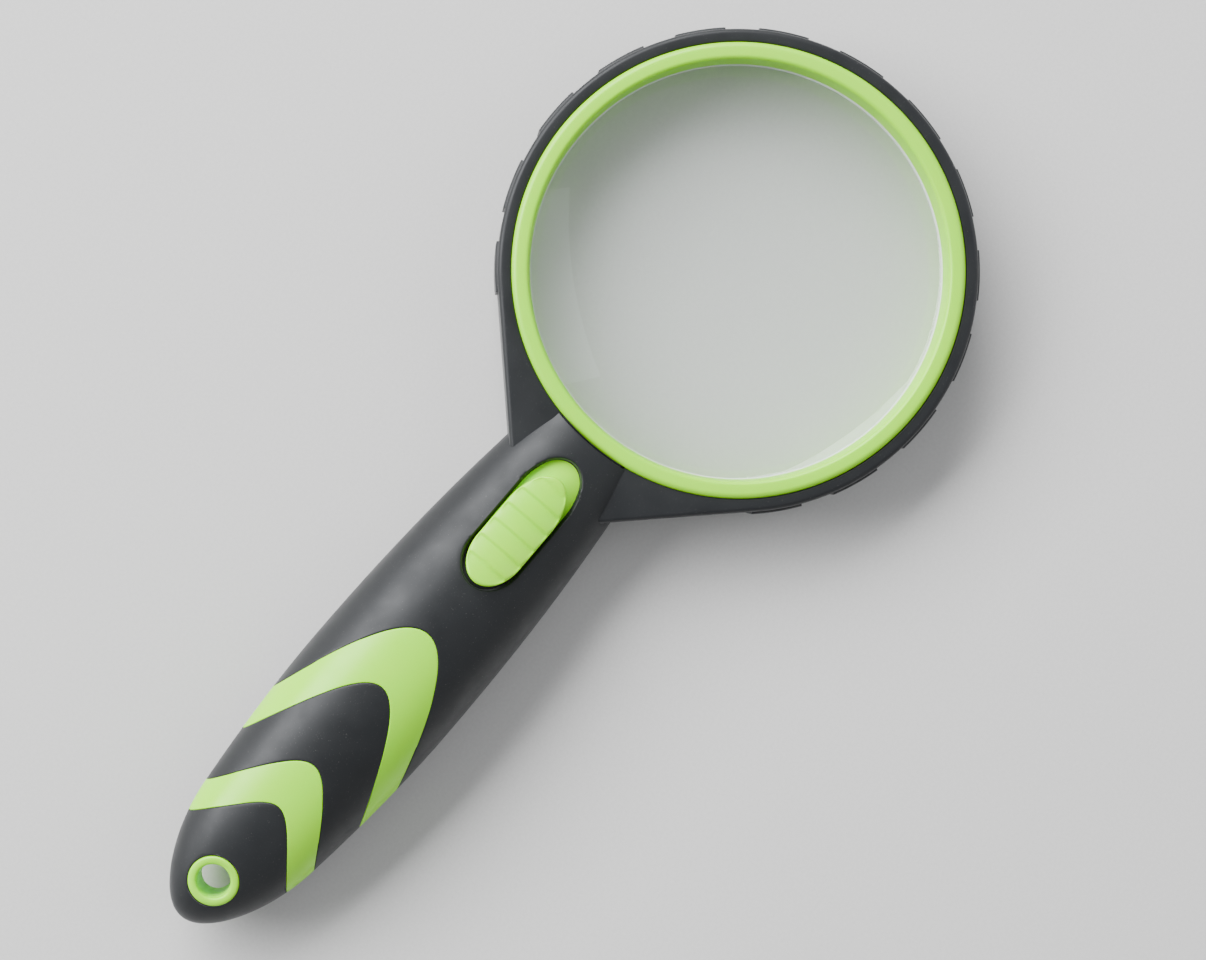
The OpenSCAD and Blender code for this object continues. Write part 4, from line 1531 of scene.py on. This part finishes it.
    def build_button(self) -> None:
        """Makes the thumb slide with its crown, round edge and thumb steps."""
        piece = Piece("thumb_button")
        outline = self.button.outline(0.11)
        inset = [0.0, 0.03, 0.08, 0.15, 0.24, 0.36, 0.52]
        spans = 9
        rings = len(inset) - 1 + spans
        for vert, index, out in ring_grid(piece.bm, len(outline), rings):
            x, y = outline[index]
            ring = round(out * rings)
            spine = self.button.spine(x)
            reach = math.hypot(x - spine, y)
            if ring < len(inset):
                depth = inset[ring]
            else:
                depth = lerp(inset[-1], reach, (ring - len(inset) + 1) / spans)
            share = max(0.0, 1.0 - depth / max(reach, 1e-6))
            along, across = lerp(spine, x, share), y * share
            vert.co = self.slope.place(along, across, self.button_level(along, across, depth))
        bmesh.ops.remove_doubles(piece.bm, verts=piece.bm.verts, dist=1e-6)
        rim = [e for e in piece.bm.edges if e.is_boundary]
        walls = bmesh.ops.extrude_edge_only(piece.bm, edges=rim)["geom"]
        level = self.slope.place(0.0, 0.0, 0.0)
        down = self.slope.place(0.0, 0.0, -1.0) - level
        middle = self.slope.place(self.button.middle, 0.0, 0.0)
        for vert in (g for g in walls if isinstance(g, bmesh.types.BMVert)):
            inwards = middle - vert.co
            inwards -= down * (inwards.dot(down) / down.length_squared)
            vert.co += down * self.button_wall + inwards.normalized() * self.undercut * MM
        piece.finish(self.finishes.lime, Body.SLIDE, "green_plastic", "thumb_slide")

    def button_level(self, along: float, across: float, depth: float) -> float:
        """Gives the height of the button's top above the slope.

        Args:
            along: Place along the slope.
            across: Sideways place.
            depth: Distance in from the button's edge.

        Returns:
            The height in millimetres.
        """
        crown, edge_r = self.button_crown_r, self.button_edge_r
        pitch, cut = self.step_pitch, self.step_cut
        level = self.button_proud + math.sqrt(crown**2 - across**2) - crown
        if depth < edge_r:
            level -= edge_r - math.sqrt(edge_r**2 - (edge_r - depth) ** 2)
        phase = (self.button.middle + 3 * pitch - self.step_start - along) / pitch
        if -0.1 < phase < self.step_count + 0.1:
            tooth = phase - math.floor(phase)
            share = tooth / cut if tooth < cut else 1.0 - (tooth - cut) / (1.0 - cut)
            smooth = share * share * (3 - 2 * share)
            level -= self.step_depth * smooth * min(1.0, depth / self.step_start)
        return level

    def build_eye(self) -> None:
        """Makes the lanyard eye with its funnel mouth."""
        far = -100.0
        top = [
            (self.eye_r, -3.0), (self.eye_r, -0.42), (self.eye_r - 0.06, -0.18),
            (self.eye_r - 0.2, -0.04), (self.eye_r - 0.4, 0.0), (self.eye_r - 0.75, -0.05), (self.eye_r - 1.05, -0.14),
            (self.eye_r - 1.28, -0.26), (self.eye_r - 1.42, -0.42), (self.bore_r + 0.14, -0.7),
            (self.bore_r + 0.07, -1.1), (self.bore_r + 0.03, -1.6), (self.bore_r, -2.6),
        ]
        bottom = [
            (self.bore_r, far + 2.0), (self.bore_r, far + 0.5), (self.bore_r + 0.12, far + 0.16),
            (self.bore_r + 0.4, far), (self.eye_r - 0.35, far), (self.eye_r - 0.1, far + 0.1),
            (self.eye_r, far + 0.35), (self.eye_r, far + 3.0),
        ]
        piece = Piece("lanyard_eye_bush")
        centre = self.form.neck_x - self.eye_at
        made = piece.spin_outline(top + bottom, centre, 120)
        back, belly = (Surface(self.form, half, -self.eye_proud) for half in (Half.UPPER, Half.LOWER))
        for vert in made:
            z = vert.co.z / MM
            u, y = self.form.neck_x - vert.co.x / MM, vert.co.y / MM
            if z > far / 2:
                vert.co.z = (back.level(u, y) + z) * MM
            else:
                vert.co.z = (belly.level(u, y) + z - far) * MM
        piece.finish(self.finishes.lime, Body.LENS, "green_plastic", "lanyard_bush")

    def build_door(self) -> None:
        """Makes the battery door with its two screw holes."""
        skin = Skin(Piece("battery_cover"), Surface(self.form, Half.LOWER, self.door_depth))
        near, far, half_w, corner = 28.9, 62.1, 7.6, 2.5
        middle = (near + far) / 2
        for end, screw in ((near, 31.9), (far, 59.1)):
            corners = [
                (middle, -half_w, 0.0), (end, -half_w, corner),
                (end, half_w, corner), (middle, half_w, 0.0),
            ]
            plan = spread_points(round_corners(corners, 12), 0.4)
            border = [(u, skin.surface.share(u, y)) for u, y in plan]
            skin.around(border, circle_outline(screw, 0.0, self.door_screw_r), 14)
        skin.join()
        skin.piece.fold_rim(1.55, 0.2)
        rim = [e for e in skin.piece.bm.edges if e.is_boundary]
        for vert in {v for e in rim for v in e.verts}:
            vert.co.z = self.door_inner_z * MM
        bmesh.ops.triangle_fill(skin.piece.bm, edges=rim, use_beauty=True, normal=(0.0, 0.0, 1.0))
        skin.piece.finish(self.finishes.door, Body.DOOR, "black_plastic", "battery_door")


# ---------------------------------------------------------------- carried-over nodes


@dataclass(frozen=True)
class InnerParts:
    """Small parts kept from the frame, with their finishes and softened edges.

    Attributes:
        finishes: The finishes.
        edge_radius: Radius of the softened edges in millimetres.
    """

    finishes: Finishes
    edge_radius: float = 0.12

    def dress(self) -> None:
        """Gives each carried-over node its finish."""
        plan = {
            "rim_frame": self.finishes.nylon,
            "lower_shell": self.finishes.lime,
            "slide_carrier": self.finishes.white,
            "switch_lever": self.finishes.acetal,
            "slide_switch": self.finishes.nickel,
            "circuit_board": self.finishes.board,
            "resistor": self.finishes.ceramic,
            "lamp_board": self.finishes.board,
            "led_left": self.finishes.lamp,
            "led_right": self.finishes.lamp,
            "lamp_window": self.finishes.window,
            "button_cell_1": self.finishes.nickel,
            "button_cell_2": self.finishes.nickel,
            "button_cell_3": self.finishes.nickel,
            "contact_spring": self.finishes.brass,
            "contact_plate": self.finishes.brass,
            "lead_red": self.finishes.red_vinyl,
            "lead_black": self.finishes.black_vinyl,
            "lamp_leads": self.finishes.white_vinyl,
            "door_screws": self.finishes.zinc,
            "housing_screws": self.finishes.zinc,
        }
        rounded = {"housing_screws", "door_screws", "button_cell_1", "button_cell_2", "button_cell_3"}
        for name, material in plan.items():
            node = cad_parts[name]
            node.data.materials.clear()
            node.data.materials.append(material)
            if name in rounded:
                self.soften(node)
            LOG.info("%s: %s", name, material.name)

    def soften(self, node: bpy.types.Object) -> None:
        """Rounds a node's sharp edges.

        Args:
            node: The node.
        """
        bevel = node.modifiers.new("softened edges", "BEVEL")
        bevel.width = self.edge_radius * MM
        bevel.segments = 2
        bevel.limit_method = "ANGLE"
        bevel.angle_limit = math.radians(40)


# ---------------------------------------------------------------- the room


@dataclass(frozen=True)
class SoftLight:
    """A large soft lamp.

    Attributes:
        name: Its name.
        place: Where it is, in metres.
        size: Its width and height in metres.
        power: Its power in watts.
        colour: sRGB hex of its light.
    """

    name: str
    place: tuple[float, float, float]
    size: tuple[float, float]
    power: float
    colour: str

    def build(self) -> None:
        """Hangs the lamp and points it at the hand lens."""
        lamp = bpy.data.lights.new(self.name, "AREA")
        lamp.shape = "RECTANGLE"
        lamp.size, lamp.size_y = self.size
        lamp.energy = self.power
        lamp.color = linear_colour(self.colour)[:3]
        holder = bpy.data.objects.new(self.name, lamp)
        holder.location = self.place
        aim = Vector((0.0, 0.0, 0.0)) - holder.location
        holder.rotation_euler = aim.to_track_quat("-Z", "Y").to_euler()
        bpy.context.scene.collection.objects.link(holder)


@dataclass(frozen=True)
class Room:
    """Floor, soft lights and camera.

    Attributes:
        eye: Place of the camera in millimetres.
        right: Direction to the right of the picture.
        up: Direction to the top of the picture.
        focal_length: Focal length in millimetres.
        sensor: Width of the sensor in millimetres.
        floor_size: Half the floor's width in metres.
        world_strength: Strength of the even light.
    """

    eye: tuple[float, float, float] = (-3.827, 19.478, 500.457)
    right: tuple[float, float, float] = (0.65261, -0.75548, 0.05779)
    up: tuple[float, float, float] = (0.75716, 0.65311, -0.01244)
    focal_length: float = 83.36
    sensor: float = 36.0
    floor_size: float = 20.0
    world_strength: float = 0.55

    def build(self) -> None:
        """Lays the floor, hangs the lights and sets up the camera."""
        self.lay_floor()
        for light in (
            SoftLight("window_softbox", (0.1, 1.15, 0.85), (2.4, 0.8), 84.0, "FAFCFF"),
            SoftLight("fill_softbox", (1.0, -0.8, 0.8), (1.0, 1.0), 5.0, "F4F7FF"),
        ):
            light.build()
        self.fill_world()
        self.stand_camera()

    def lay_floor(self) -> None:
        """Lays the plain pale floor."""
        bench = NodeBench("pale paper")
        places = bench.places()
        fibres = bench.noise(places, 0.6, 3.0)
        share = bench.span(fibres, (0.3, 0.7), (0.0, 1.0))
        colour = bench.blend(share, linear_colour("CFCDCA"), linear_colour("D4D2CF"))
        bench.shade({"Base Color": colour, "Roughness": 0.85, "Normal": bench.bump(fibres, 0.02)})
        bm = bmesh.new()
        bmesh.ops.create_grid(bm, x_segments=2, y_segments=2, size=self.floor_size)
        mesh = bpy.data.meshes.new("floor")
        bm.to_mesh(mesh)
        bm.free()
        mesh.materials.append(bench.material)
        floor = bpy.data.objects.new("floor", mesh)
        bpy.context.scene.collection.objects.link(floor)

    def fill_world(self) -> None:
        """Fills the room with even light."""
        world = bpy.data.worlds.new("room")
        world.use_nodes = True
        sky = world.node_tree.nodes["Background"]
        sky.inputs["Color"].default_value = linear_colour("E9ECEF")
        sky.inputs["Strength"].default_value = self.world_strength
        bpy.context.scene.world = world

    def stand_camera(self) -> None:
        """Stands the camera above the hand lens."""
        lens = bpy.data.cameras.new("camera")
        lens.lens = self.focal_length
        lens.sensor_width = self.sensor
        lens.clip_start = 0.01
        camera = bpy.data.objects.new("camera", lens)
        right, up = Vector(self.right).normalized(), Vector(self.up).normalized()
        back = right.cross(up).normalized()
        up = back.cross(right)
        turn = Matrix((right, up, back)).transposed().to_4x4()
        camera.matrix_world = Matrix.Translation(Vector(self.eye) * MM) @ turn
        bpy.context.scene.collection.objects.link(camera)
        bpy.context.scene.camera = camera


def main() -> None:
    """Builds the hand lens and the room round it."""
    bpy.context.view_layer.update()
    finishes = Finishes()
    Ring(finishes).build()
    Handle(finishes).build()
    InnerParts(finishes).dress()
    Room().build()


if __name__ == "__main__":
    main()
